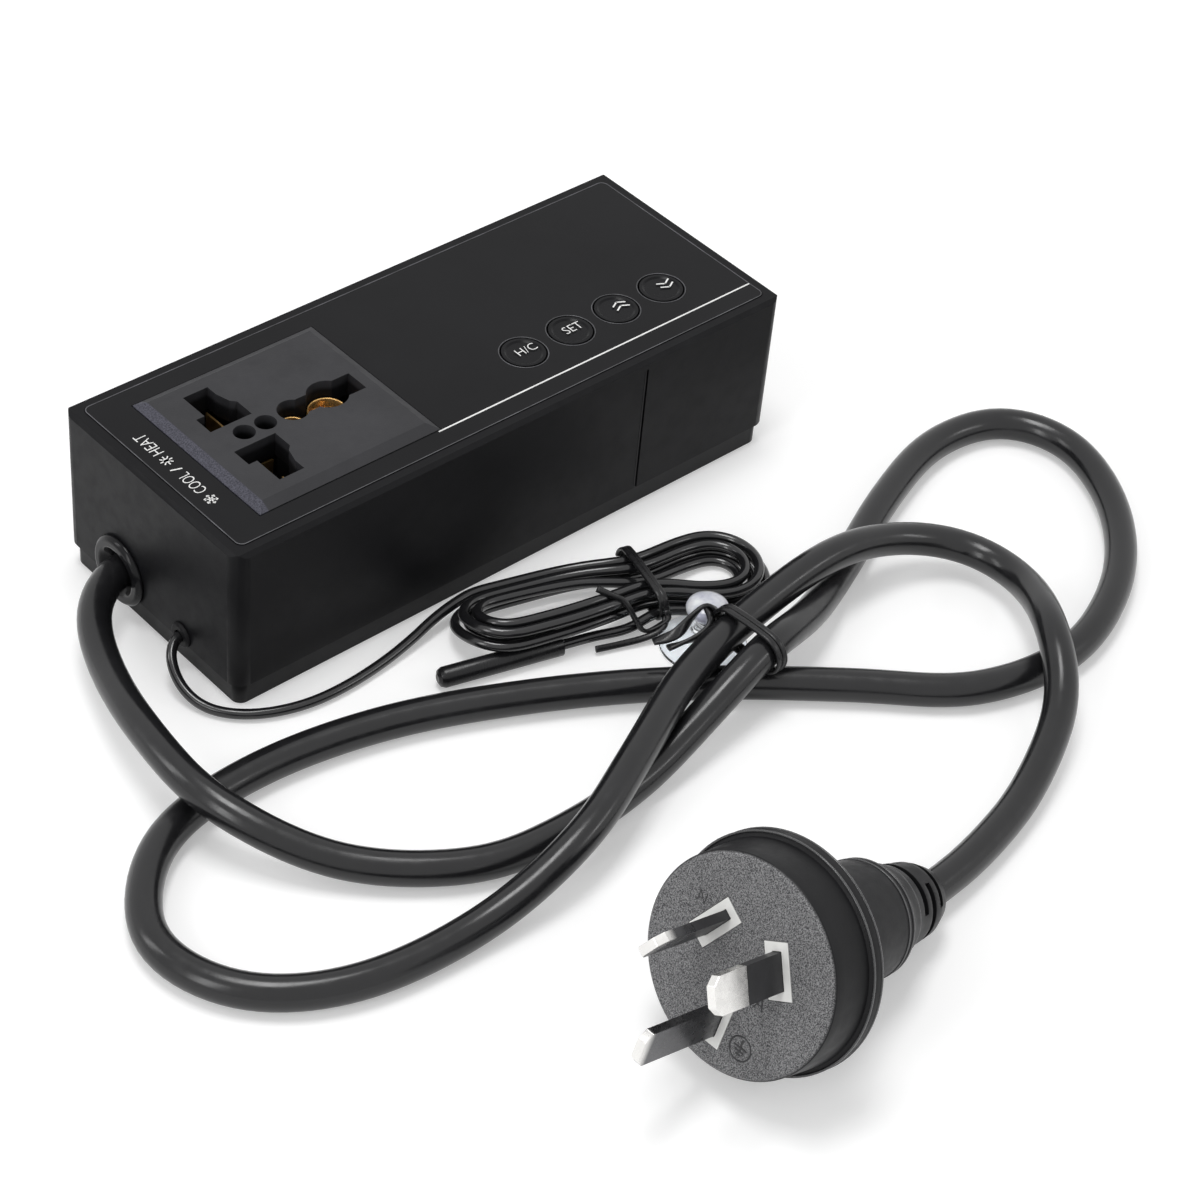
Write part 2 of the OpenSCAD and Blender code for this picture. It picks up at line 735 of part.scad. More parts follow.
module transformer() {
    color([0.75, 0.6, 0.15]) on_power_board(core_shares) {
        translate([-core_size[0] / 2, -core_size[1] / 2, 0]) cube(core_size);
        translate([-coil_size[0] / 2, -coil_size[1] / 2, (core_size[2] - coil_size[2]) / 2]) cube(coil_size);
    }
}

module capacitors() {
    color([0.12, 0.12, 0.3]) for (c = cap_shares) on_power_board(c) cylinder(r = cap_r * c[2], h = cap_h * c[3]);
}

module terminal_block() {
    color([0.1, 0.45, 0.2]) on_power_board(block_shares) difference() {
        translate([-block_size[0] / 2, -block_size[1] / 2, 0]) cube(block_size);
        for (i = [0 : block_poles - 1])
            translate([0, (i - (block_poles - 1) / 2) * block_size[1] / block_poles, block_size[2] - block_screw_depth])
                cylinder(r = block_screw_r, h = block_screw_depth + over);
    }
}

// Grommets on the left end
module cord_grommet() {
    color([0.04, 0.04, 0.045]) translate([-body_l / 2, gland_y, gland_z]) rotate([0, -90, 0]) rotate_extrude()
        polygon([[mains_r + cord_fit, -wall - flange_t], [inner_flange_r, -wall - flange_t],
            [inner_flange_r, -wall - fit / 2], [neck_r, -wall - fit / 2], [neck_r, 0], [grommet_d / 2, 0],
            [grommet_d / 2, flange_t / 2], [grommet_d / 2 - flange_t / 2, flange_t], [flare_r, flange_t],
            [mains_r + cord_fit, flange_t - flare_l]]);
}

module sensor_grommet() {
    color([0.04, 0.04, 0.045]) translate([-body_l / 2, lead_y, lead_z]) rotate([0, -90, 0]) rotate_extrude()
        polygon([[lead_r + cord_fit, -wall - lead_bush_t], [lead_bush_r, -wall - lead_bush_t],
            [lead_bush_r, -wall - fit / 2], [lead_neck_r, -wall - fit / 2], [lead_neck_r, 0], [lead_bush_r, 0],
            [lead_bush_r, lead_bush_t / 2], [lead_bush_r - lead_bush_t / 2, lead_bush_t],
            [lead_r + cord_fit, lead_bush_t]]);
}

// A smooth curve through a list of points, as a value at u from 0 to the last index
function clamp_index(p, i) = p[max(0, min(len(p) - 1, i))];
function spline(p, u) =
    let (i = min(floor(u), len(p) - 2), f = u - i,
        a = clamp_index(p, i - 1), b = p[i], c = p[i + 1], d = clamp_index(p, i + 2))
    b + f * ((c - a) / 2 + f * ((a - b * 5 / 2 + c * 2 - d / 2) + f * ((b - c) * 3 / 2 + (d - a) / 2)));
function fine(p) = [for (i = [0 : fine_steps * (len(p) - 1)]) spline(p, i / fine_steps)];
function run_lengths(f) = [for (i = 0, d = 0; i < len(f); d = d + norm(f[min(i + 1, len(f) - 1)] - f[i]), i = i + 1) d];
// The same curve with n + 1 points at equal distances
function even(p, n) =
    let (f = fine(p), d = run_lengths(f), total = d[len(d) - 1],
        tables = [for (c = [0 : 2]) [for (k = [0 : len(f) - 1]) [d[k], f[k][c]]]])
    [for (i = [0 : n]) [for (c = [0 : 2]) lookup(total * i / n, tables[c])]];
function unit(v) = v / norm(v);
function heading(p, i) = unit(p[min(i + 1, len(p) - 1)] - p[max(i - 1, 0)]);

// Tube swept along points, its ends square to the first and last run
module tube(p, r, sides) {
    rings = len(p);
    points = [for (i = [0 : rings - 1]) let (t = heading(p, i), s = unit(cross([0, 0, 1], t)), n = cross(t, s))
        for (k = [0 : sides - 1]) p[i] + r * (cos(360 * k / sides) * s + sin(360 * k / sides) * n)];
    walls = [for (i = [0 : rings - 2], k = [0 : sides - 1]) let (a = i * sides + k, b = i * sides + (k + 1) % sides)
        each [[a, a + sides, b], [b, a + sides, b + sides]]];
    start = [for (k = [1 : sides - 2]) [0, k, k + 1]];
    end = [for (k = [1 : sides - 2]) let (e = (rings - 1) * sides) [e, e + k + 1, e + k]];
    polyhedron(points, concat(walls, start, end));
}

// Mains cord
function plug_axis() = [-cos(plug_pitch) * cos(plug_yaw - 180), -cos(plug_pitch) * sin(plug_yaw - 180), sin(plug_pitch)];
function plug_point(back) = [plug_x, plug_y, plug_z] - back * plug_axis();
mains_points = concat([mains_inner_end], even(concat(mains_route, [plug_point(plug_l + mains_lead_in)]), mains_rings),
    [plug_point(plug_l)]);

module mains_cord() color([0.09, 0.09, 0.095]) tube(mains_points, mains_r, mains_sides);

module stadium_ring(half, height, t) {
    difference() {
        rounded_rect(2 * half + 2 * t, height + 2 * t, height / 2 + t - fit / 2);
        rounded_rect(2 * half, height, height / 2 - fit / 2);
    }
}

// Wire tie round the two neighbouring runs, with its twisted tails
module mains_tie() {
    color([0.05, 0.05, 0.05]) translate(tie_at) rotate([0, 0, tie_turn]) {
        translate([-tie_w / 2, 0, 0]) rotate([90, 0, 90]) linear_extrude(tie_w)
            stadium_ring(tie_half, mains_d + 2 * tie_slack, tie_t);
        translate([0, tie_half + tie_t + knot_r / 2, 0]) {
            sphere(r = knot_r, $fn = 24);
            for (a = tail_turns) rotate([0, tail_dip, a]) translate([0, -tail_w / 2, -tail_t / 2]) cube([tail_l, tail_w, tail_t]);
        }
    }
}

// Plug
module at_plug() {
    translate([plug_x, plug_y, plug_z]) rotate([0, 0, plug_yaw]) rotate([0, 90 - plug_pitch, 0]) children();
}

module plug_profile() {
    polygon([[0, 0], [face_r - face_edge, 0], [face_r, -face_edge], [side_r, lip_t - head_t], [lip_r, lip_t - head_t - fit],
        [lip_r, -head_t], [side_r, -head_t - face_edge], [collar_r + face_edge, -head_t - face_edge],
        [collar_r, -head_t - 3 * face_edge], [collar_end_r, -collar_end], [collar_end_r - face_edge * 2, -collar_end - 4 * face_edge],
        [shoulder_r + face_edge, -shoulder_end + 2 * face_edge], [shoulder_r, -shoulder_end], [relief_r, 2 * face_edge - plug_l + slot_w * 2],
        [relief_end_r + face_edge, face_edge - plug_l], [relief_end_r, -plug_l], [0, -plug_l]]);
}

module relief_slots() {
    for (i = [0 : slot_count - 1], side = [0, 180]) rotate([0, 0, side + (i % 2) * 90 - slot_arc / 2])
        translate([0, 0, -slot_first - i * slot_pitch - slot_w]) rotate_extrude(angle = slot_arc)
            translate([relief_r - slot_depth, 0]) square([slot_depth + over, slot_w]);
}

module pin_places() {
    rotate([0, 0, 180 - pin_spread / 2]) translate([pin_circle, 0, 0]) rotate([0, 0, 90]) children(0);
    rotate([0, 0, 180 + pin_spread / 2]) translate([pin_circle, 0, 0]) rotate([0, 0, 90]) children(1);
    translate([earth_circle, 0, 0]) children(2);
}

module pads(grow) {
    pin_places() {
        square([pad_l + 2 * grow, pad_w + 2 * grow], center = true);
        square([pad_l + 2 * grow, pad_w + 2 * grow], center = true);
        square([pad_l + 2 * grow, pad_w + 2 * grow], center = true);
    }
}

module carrier(grow) {
    translate([0, 0, -carrier_z]) linear_extrude(carrier_z + (grow > 0 ? over : 0)) pads(grow);
    translate([0, 0, -carrier_z - carrier_t - grow]) cylinder(r = carrier_r + grow, h = carrier_t + 2 * grow);
}

module plug_body() {
    color([0.14, 0.14, 0.145]) at_plug() difference() {
        rotate_extrude($fn = 96) plug_profile();
        carrier(carrier_fit);
        relief_slots();
    }
}

module pin_carrier() {
    color([0.92, 0.92, 0.9]) at_plug() difference() {
        carrier(0);
        pin_places() {
            blade_pocket();
            blade_pocket();
            blade_pocket();
        }
    }
}

module blade_pocket()
    translate([-blade_w / 2 - carrier_fit, -blade_t / 2 - carrier_fit, -blade_root - carrier_fit])
        cube([blade_w + 2 * carrier_fit, blade_t + 2 * carrier_fit, blade_root + over]);

module blade_outline(l)
    polygon([[-blade_w / 2, 0], [blade_w / 2, 0], [blade_w / 2, l - blade_tip], [blade_w / 2 - blade_tip, l],
        [blade_tip - blade_w / 2, l], [-blade_w / 2, l - blade_tip]]);

module blade(l) rotate([90, 0, 0]) translate([0, -blade_root, -blade_t / 2]) linear_extrude(blade_t) blade_outline(l + blade_root);

module sleeve(grow) {
    difference() {
        translate([-blade_w / 2 - grow, -blade_t / 2 - grow, grow > 0 ? -over - blade_root : -blade_root])
            cube([blade_w + 2 * grow, blade_t + 2 * grow, blade_root + sleeve_l + (grow > 0 ? over : 0)]);
        translate([sleeve_wall - blade_w / 2, sleeve_wall - blade_t / 2, -blade_root - 2 * over])
            cube([blade_w - 2 * sleeve_wall, blade_t - 2 * sleeve_wall, blade_root + sleeve_l + 4 * over]);
    }
}

module current_blade() difference() {
    blade(blade_l);
    sleeve(fit);
}

module plug_pin_active() color([0.78, 0.79, 0.8]) at_plug() pin_places() {
    current_blade();
    union() {}
    union() {}
}

module plug_pin_neutral() color([0.78, 0.79, 0.8]) at_plug() pin_places() {
    union() {}
    current_blade();
    union() {}
}

module plug_pin_earth() color([0.78, 0.79, 0.8]) at_plug() pin_places() {
    union() {}
    union() {}
    blade(earth_blade_l);
}

module pin_sleeves() color([0.06, 0.06, 0.06]) at_plug() pin_places() {
    sleeve(0);
    sleeve(0);
    union() {}
}

// Hank of the sensor lead: loops that spiral in on the upper layer and out on the lower one
function ease(f) = let (c = max(0, min(1, f))) c * c * (3 - 2 * c);
function hank_half(t) = hank_inner + hank_step * abs(t - hank_reverse);
function squeeze(x) = hank_pinch * exp(-pow((x - hank_waist) / hank_waist_l, 2));
function hank_lift(x, y) =
    hank_tie_lift * exp(-pow((x - hank_waist) / hank_waist_l, 2))
    + probe_lift * ease((probe_lift_x - x) / probe_lift_l) * ease((probe_lift_y - y) / probe_lift_w);
function hank_level(t) = hank_layer * (1 - ease((t - hank_reverse + hank_climb) / (2 * hank_climb)));
// Place on a loop: run to the right, right end, run to the left, left end, each a quarter of a turn
function loop_place(t) =
    let (q = (t - floor(t)) * 4, b = hank_half(t), f = q - floor(q), a = 180 * f)
    q < 1 ? [hank_run * (2 * f - 1), b]
    : q < 2 ? [hank_run + b * sin(a), b * cos(a)]
    : q < 3 ? [hank_run * (1 - 2 * f), -b]
    : [-hank_run - b * sin(a), -b * cos(a)];
function drawn_in(p) = [p[0], p[1] - sign(p[1]) * min(abs(p[1]), squeeze(p[0]))];
function hank_point(t) =
    let (p = drawn_in(loop_place(t)))
    [p[0], p[1], hank_z + hank_level(t) + hank_lift(p[0], p[1])];
// Last run on its way to the probe: share of the half run, and share of the way to the probe's line
lead_out_shares = [[0.66, 0], [0.33, 0], [0, 0.3], [-0.3, 1]];
hank_end = [probe_end, probe_y, probe_z];
function lead_out() = concat(
    [for (s = lead_out_shares) let (x = hank_run * s[0], t = hank_turns + (1 - s[0]) / 8,
        p = drawn_in([x, -hank_half(t)]))
        [x, p[1] + (probe_y - p[1]) * s[1], hank_z + (probe_z - hank_z) * s[1]
            + (1 - s[1]) * hank_tie_lift * exp(-pow((x - hank_waist) / hank_waist_l, 2))]],
    [hank_end + [lead_d, 0, 0], hank_end]);
hank_steps = hank_turns * 4 * hank_run_rings;
hank_loops = [for (i = [0 : hank_steps]) hank_point(i / (4 * hank_run_rings))];
hank_points = concat([hank_loops[0] - [lead_d, 0, 0]], hank_loops, lead_out());

// Least gap between two stretches of the hank that aren't neighbours along it
function nearest(p, i, skip) = min([for (j = [i + skip : len(p) - 1]) norm(p[i] - p[j])]);
fine_points = [for (i = [0 : near_steps * (len(hank_points) - 1)])
    let (u = i / near_steps, k = min(floor(u), len(hank_points) - 2))
    hank_points[k] + (u - k) * (hank_points[k + 1] - hank_points[k])];
near_last = len(fine_points) - near_skip - 1;
hank_gap = min([for (i = [0 : near_last]) nearest(fine_points, i, near_skip)]) - lead_d;

module at_hank() translate([hank_at[0], hank_at[1], 0]) rotate([0, 0, hank_turn]) children();

module sensor_hank() {
    echo(least_hank_gap = hank_gap);
    color([0.07, 0.07, 0.075]) at_hank() tube(hank_points, lead_r, hank_sides);
}

function hank_to_world(p) = [hank_at[0] + p[0] * cos(hank_turn) - p[1] * sin(hank_turn),
    hank_at[1] + p[0] * sin(hank_turn) + p[1] * cos(hank_turn), p[2]];
lead_points = concat([lead_inner_end], even(concat(lead_route, [hank_to_world(hank_points[0] - [lead_d, 0, 0])]), lead_rings),
    [hank_to_world(hank_points[0])]);

module sensor_lead() color([0.07, 0.07, 0.075]) tube(lead_points, lead_r, lead_sides);

module hank_tie() {
    half = hank_half(0) - hank_pinch + lead_r + tie_clear + hank_step / 2;
    rise = probe_lift * ease((probe_lift_x - hank_waist + hank_tie_w / 2) / probe_lift_l);
    height = hank_layer + lead_d + rise + 2 * tie_clear;
    color([0.05, 0.05, 0.05]) at_hank() translate([hank_waist, 0, hank_z + hank_tie_lift + (hank_layer + rise) / 2]) {
        translate([-hank_tie_w / 2, 0, 0]) rotate([90, 0, 90]) linear_extrude(hank_tie_w) difference() {
            rounded_rect(2 * half + 2 * tie_t, height + 2 * tie_t, lead_r + tie_clear + tie_t);
            rounded_rect(2 * half, height, lead_r + tie_clear);
        }
        translate([0, -half - tie_t - knot_r / 2, 0]) {
            sphere(r = knot_r, $fn = 24);
            for (a = hank_tail_turns) rotate([0, 0, a]) translate([0, -tail_w / 2, -tail_t / 2]) cube([tail_l, tail_w, tail_t]);
        }
    }
}

module sensor_probe() {
    color([0.05, 0.05, 0.05]) at_hank() translate([probe_end, probe_y, probe_z]) rotate([0, -90, 0]) rotate_extrude()
        polygon([[0, 0], [probe_d / 2, 0], [probe_d / 2, probe_l - probe_nose],
            [probe_d / 2 - probe_nose / 3, probe_l - probe_nose / 3], [probe_d / 2 - probe_nose, probe_l], [0, probe_l]]);
}

module suction_cup() {
    flange_r = cup_r * cup_flange_share;
    color([0.8, 0.86, 0.95, 0.5]) translate([cup_at[0], cup_at[1], 0]) rotate_extrude()
        polygon([[0, cup_rise - cup_t], [cup_neck_r, cup_rise - cup_t], [flange_r - cup_t, 0],
            [cup_r, 0], [cup_r, cup_t / 2], [cup_r - cup_t / 2, cup_t], [flange_r, cup_t], [cup_neck_r + cup_t, cup_rise],
            [cup_neck_r, cup_rise + cup_t], [cup_neck_r, cup_neck_h], [knob_r - cup_t, cup_neck_h],
            [knob_r, cup_neck_h + cup_t], [knob_r, cup_neck_h + knob_h - cup_t], [knob_r - cup_t, cup_neck_h + knob_h],
            [0, cup_neck_h + knob_h]]);
}

upper_shell();
base_cover();
case_screws();
top_overlay();
outlet_plate();
outlet_housing();
contact_live();
contact_neutral();
contact_earth();
outlet_screws();
display_window();
display_module();
control_board();
tact_switches();
key_mode();
key_set();
key_up();
key_down();
plunger_mode();
plunger_set();
plunger_up();
plunger_down();
power_board();
relay();
transformer();
capacitors();
terminal_block();
cord_grommet();
cord_clamp();
clamp_screws();
mains_cord();
mains_tie();
plug_body();
pin_carrier();
plug_pin_active();
plug_pin_neutral();
plug_pin_earth();
pin_sleeves();
sensor_grommet();
sensor_lead();
sensor_hank();
hank_tie();
sensor_probe();
suction_cup();
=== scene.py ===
"""Looks of a plug-in temperature controller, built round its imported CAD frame.

Blender's lengths are in metres. Tables of points and sizes are in millimetres, unless they say
otherwise, and are multiplied by MM where they are used.
"""

import json
import math

import bmesh
import bpy
from mathutils import Matrix, Vector


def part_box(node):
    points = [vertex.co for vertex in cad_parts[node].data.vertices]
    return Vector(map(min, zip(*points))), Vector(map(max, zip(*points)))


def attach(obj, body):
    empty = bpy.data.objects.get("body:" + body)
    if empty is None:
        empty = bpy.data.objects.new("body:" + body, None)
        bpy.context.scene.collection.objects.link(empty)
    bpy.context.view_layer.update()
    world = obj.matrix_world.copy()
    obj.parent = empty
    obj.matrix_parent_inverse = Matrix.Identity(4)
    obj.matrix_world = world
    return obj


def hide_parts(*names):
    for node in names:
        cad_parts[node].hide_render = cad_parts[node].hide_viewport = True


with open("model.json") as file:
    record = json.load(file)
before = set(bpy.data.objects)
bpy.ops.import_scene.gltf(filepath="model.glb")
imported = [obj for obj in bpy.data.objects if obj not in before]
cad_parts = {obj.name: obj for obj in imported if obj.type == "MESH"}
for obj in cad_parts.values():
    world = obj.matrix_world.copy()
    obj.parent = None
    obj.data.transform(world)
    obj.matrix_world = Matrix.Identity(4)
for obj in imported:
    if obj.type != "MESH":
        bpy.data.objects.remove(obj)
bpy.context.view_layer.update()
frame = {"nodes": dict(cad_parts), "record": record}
nodes = frame["nodes"]
MM = 0.001
BODY = "housing"
UP = Vector((0, 0, 1))


def add(name, data):
    """A new object in the scene."""
    made = bpy.data.objects.new(name, data)
    bpy.context.scene.collection.objects.link(made)
    return made


def shifted(x, y, z):
    """A move, in mm."""
    return Matrix.Translation(Vector((x, y, z)) * MM)


def turned(degrees, axis="Z"):
    return Matrix.Rotation(math.radians(degrees), 4, axis)


# Camera, from a fit of the plug's blades and the outlet's openings to the photograph
LENS, SENSOR = 92.85, 36
CAMERA_AT = Vector((-308.71, -352.51, 389.23)) * MM
CAMERA_RIGHT = Vector((0.74463, -0.66305, 0.07677)).normalized()
CAMERA_BACK = Vector((-0.53584, -0.52523, 0.66107)).normalized()


def make_camera():
    data = bpy.data.cameras.new("camera")
    data.lens, data.sensor_width = LENS, SENSOR
    data.clip_start, data.clip_end = 0.02, 20
    camera = add("camera", data)
    up = CAMERA_BACK.cross(CAMERA_RIGHT).normalized()
    turn = Matrix((CAMERA_RIGHT, up, CAMERA_BACK)).transposed().to_4x4()
    camera.matrix_world = Matrix.Translation(CAMERA_AT) @ turn
    bpy.context.scene.camera = camera


# Lines and tubes
def spline_point(p, u):
    """The curve through the points of p, at u points from its start."""
    i = min(int(u), len(p) - 2)
    f = u - i
    a, b, c, d = p[max(i - 1, 0)], p[i], p[i + 1], p[min(i + 2, len(p) - 1)]
    square, cube = a - 2.5 * b + 2 * c - d / 2, (b - c) * 1.5 + (d - a) / 2
    return b + f * ((c - a) / 2 + f * (square + f * cube))


def even_path(p, step, smooth):
    """A line through the points, in points about a step apart, smoothed so many times."""
    parts = 16
    fine = [spline_point(p, i / parts) for i in range(parts * (len(p) - 1) + 1)]
    lengths = [0.0]
    for a, b in zip(fine, fine[1:]):
        lengths.append(lengths[-1] + (b - a).length)
    count = round(lengths[-1] / step)
    line, k = [], 0
    for i in range(count + 1):
        at = lengths[-1] * i / count
        while k < len(fine) - 2 and lengths[k + 1] < at:
            k += 1
        share = (at - lengths[k]) / (lengths[k + 1] - lengths[k])
        line.append(fine[k].lerp(fine[k + 1], share))
    for _ in range(smooth):
        inner = [line[i] * 0.5 + (line[i - 1] + line[i + 1]) * 0.25
                 for i in range(2, len(line) - 2)]
        line = line[:2] + inner + line[-2:]
    return line


def wall(rings, sides, closed=False):
    """The faces between rings of points."""
    faces = []
    for i in range(rings if closed else rings - 1):
        j = (i + 1) % rings
        for k in range(sides):
            m = (k + 1) % sides
            faces.append((i * sides + k, i * sides + m, j * sides + m, j * sides + k))
    return faces


def ends(rings, sides):
    """The faces over the first ring and the last one."""
    return [tuple(reversed(range(sides))), tuple((rings - 1) * sides + k for k in range(sides))]


def tube(name, line, radius, sides):
    """A round tube along a line, in metres. Its rings are carried along without twist."""
    verts, n = [], len(line)
    side = UP
    for i, p in enumerate(line):
        ahead = (line[min(i + 1, n - 1)] - line[max(i - 1, 0)]).normalized()
        side = (side - side.dot(ahead) * ahead).normalized()
        other = ahead.cross(side)
        for k in range(sides):
            a = 2 * math.pi * k / sides
            verts.append(p + radius * (math.cos(a) * side + math.sin(a) * other))
    data = bpy.data.meshes.new(name)
    data.from_pydata([tuple(v) for v in verts], [], wall(n, sides) + ends(n, sides))
    for face in data.polygons:
        face.use_smooth = len(face.vertices) == 4
    return add(name, data)


# The plug lies on its rim. Its own z axis points out of its face.
PLUG_PITCH = math.radians(20)
PLUG_LENGTH = 52
PLUG_RIM, PLUG_RIM_BACK = 20.3, 11     # the rim's radius and its distance behind the face
PLUG_Z = PLUG_RIM * math.cos(PLUG_PITCH) + PLUG_RIM_BACK * math.sin(PLUG_PITCH) + 0.1
PLUG_AT = Vector((-52.5, -140.2, PLUG_Z)) * MM
PLUG_TURN = (Matrix.Rotation(math.radians(183.1), 3, "Z")
             @ Matrix.Rotation(math.radians(90) - PLUG_PITCH, 3, "Y"))
PLUG = Matrix.Translation(PLUG_AT) @ PLUG_TURN.to_4x4()

# The mains cord, from inside the housing to just behind the plug
MAINS_R = 3.2 * MM
MAINS_ROUTE = [Vector(p) * MM for p in (
    (-57, 9, 9.2), (-63, 9, 9.2), (-68.6, 9, 9.2), (-77, 2.6, 8.4), (-83.2, -10.8, 8),
    (-88.3, -30.3, 10.2), (-88.7, -51, 9.8), (-77.3, -70.3, 4.6), (-58.6, -84.3, 3.4),
    (-39.9, -87.6, 3.4), (-21.9, -86.5, 3.8), (-6.1, -84.1, 7.3), (12, -81.3, 12.2),
    (30, -75.8, 7.7), (50, -66.2, 3.4), (70, -57.1, 3.4), (90.2, -51, 3.3), (106.9, -54.3, 3.3),
    (112.9, -68.2, 3.3), (105.1, -86.8, 3.3), (88.8, -102, 3.3), (66, -110.3, 3.3),
    (43.5, -106.1, 3.3), (25.6, -91.3, 3.3), (3.7, -74.1, 3.3), (-21.1, -59.3, 3.3),
    (-48.8, -47.6, 3.3), (-76.2, -43.2, 3.3), (-98.3, -47.5, 3.3), (-112, -63.7, 3.3),
    (-107.7, -81.7, 3.3), (-90.9, -92.8, 3.3), (-65.9, -95.7, 3.9), (-43.9, -94.7, 9.8),
    (-23.9, -86.6, 11.6), (-3.9, -77.3, 11.6), (17.9, -71.9, 11.7), (40.9, -69.9, 12.5),
    (58, -71.6, 8.9), (69.6, -79.2, 5.9), (70.7, -92.6, 6.3), (60.3, -108.8, 11),
    (50.3, -121, 6.8), (31, -130.7, 3.9), (12, -135.7, 3.7))]


def mains_path():
    """The route, brought straight into the back of the plug."""
    arrive, end = (PLUG @ (Vector((0, 0, -PLUG_LENGTH - back)) * MM) for back in (1.6, 0))
    return even_path(MAINS_ROUTE + [arrive], 2 * MM, 6) + [end]


# The sensor lead: its route to the hank, the loops of the hank, and the run to the probe
LEAD_R = 1 * MM
LEAD_ROUTE = [Vector(p) for p in (
    (-61, -9.9, 6.8), (-67.8, -9.9, 6.8), (-70.8, -12.6, 5.2), (-72, -17.5, 2.6), (-71, -23, 1.2),
    (-67.5, -28, 1.2), (-62, -31.5, 1.2), (-55, -33.6, 1.2), (-47, -34, 1.2), (-38, -33.2, 1.3),
    (-30, -32, 2), (-23, -30.8, 3.2))]
HANK_AT, HANK_TURN = Vector((6.3, -46.2, 0)), turned(-15.5)
HANK = Matrix.Translation(HANK_AT) @ HANK_TURN
HANK_TURNS = 4.5                           # they narrow on the upper layer, then widen on the lower
HANK_DROP, HANK_DROP_HALF = 2.125, 0.125   # where the turns drop to the lower layer, in turns
HANK_RUN = 22.5                            # half of a straight run
HANK_INNER, HANK_WIDEN = 4.5, 2.5          # half the narrowest turn's width, and what a turn adds
HANK_Z, HANK_LAYER = 1.2, 2.65             # height of the lower layer, and the upper one above it
HANK_WAIST, HANK_WAIST_WIDTH = 7, 9        # where the tie draws the turns in, and how widely
HANK_PINCH, HANK_TIE_LIFT = 3.8, 1.8       # how far it draws them in and lifts them
PROBE_AT = (-14, -7.8, 2.1)
PROBE_LIFT = 4.4                           # how far the turns rise where the probe is


def ease(value, start, end):
    """0 to 1 while value goes from start to end, slow at both."""
    c = max(0.0, min(1.0, (value - start) / (end - start)))
    return c * c * (3 - 2 * c)


def waist(x):
    return math.exp(-((x - HANK_WAIST) / HANK_WAIST_WIDTH) ** 2)


def hank_half(t):
    return HANK_INNER + HANK_WIDEN * abs(t - HANK_DROP)


def drawn_in(x, y):
    return y - math.copysign(min(abs(y), HANK_PINCH * waist(x)), y)


def hank_point(t):
    """A point of the hank, t turns from its start: two straight runs and two round ends a turn."""
    quarter = (t - math.floor(t)) * 4
    f = quarter - math.floor(quarter)
    b, a = hank_half(t), math.pi * f
    x, y = ((HANK_RUN * (2 * f - 1), b),
            (HANK_RUN + b * math.sin(a), b * math.cos(a)),
            (HANK_RUN * (1 - 2 * f), -b),
            (-HANK_RUN - b * math.sin(a), -b * math.cos(a)))[min(int(quarter), 3)]
    y = drawn_in(x, y)
    layer = HANK_LAYER * (1 - ease(t, HANK_DROP - HANK_DROP_HALF, HANK_DROP + HANK_DROP_HALF))
    over_probe = PROBE_LIFT * ease(x, 9, -8) * ease(y, 11, -5)
    return Vector((x, y, HANK_Z + layer + HANK_TIE_LIFT * waist(x) + over_probe))


def lead_path():
    """The route, the turns of the hank, and the run along its last side to the probe."""
    steps = 48
    loops = [hank_point(i / steps) for i in range(round(HANK_TURNS * steps) + 1)]
    run = []
    for share, to_probe in ((0.66, 0), (0.33, 0), (0, 0.3), (-0.3, 1)):
        x = HANK_RUN * share
        y = drawn_in(x, -hank_half(HANK_TURNS + (1 - share) / 8))
        z = HANK_Z + (PROBE_AT[2] - HANK_Z) * to_probe + (1 - to_probe) * HANK_TIE_LIFT * waist(x)
        run.append(Vector((x, y + (PROBE_AT[1] - y) * to_probe, z)))
    probe, straight = Vector(PROBE_AT), Vector((2, 0, 0))
    run = even_path([loops[-1]] + run + [probe + straight, probe], 0.6, 0)[1:]
    arrive = [HANK @ (loops[0] - straight), HANK @ loops[0]]
    line = even_path(LEAD_ROUTE + arrive, 0.8, 0) + [HANK @ p for p in loops[1:] + run]
    return [p * MM for p in even_path(line, 0.9, 10)]


make_camera()
mains_line = mains_path()
mains = tube("mains_flex", mains_line, MAINS_R, 32)
lead_line = lead_path()
lead = tube("sensor_flex", lead_line, LEAD_R, 16)


# Meshes. Their sizes are in mm, and place is the frame that they are drawn in.
def settle(piece, body, replaces=()):
    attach(piece, body)
    if replaces:
        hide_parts(*replaces)
    return piece


def mesh_piece(name, verts, faces, slot, body=BODY, smooth=True, replaces=()):
    data = bpy.data.meshes.new(name)
    data.from_pydata([tuple(v) for v in verts], [], faces)
    work = bmesh.new()
    work.from_mesh(data)
    bmesh.ops.recalc_face_normals(work, faces=work.faces)
    work.to_mesh(data)
    work.free()
    for face in data.polygons:
        face.use_smooth = smooth
    return settle(add(name, data), body, replaces)


def circle_point(radius, angle, height):
    return Vector((radius * math.cos(angle), radius * math.sin(angle), height)) * MM


def revolve(name, profile, place, **rest):
    """A closed surface round z. The profile's (radius, height) points start and end on it."""
    sides = 72
    rings = profile[1:-1]
    verts = [place @ circle_point(r, 2 * math.pi * k / sides, z)
             for r, z in rings for k in range(sides)]
    verts += [place @ circle_point(0, 0, z) for _, z in (profile[0], profile[-1])]
    bottom, top = len(verts) - 2, len(verts) - 1
    faces = wall(len(rings), sides)
    last = (len(rings) - 1) * sides
    for k in range(sides):
        faces.append((bottom, (k + 1) % sides, k))
        faces.append((top, last + k, last + (k + 1) % sides))
    return mesh_piece(name, verts, faces, **rest)


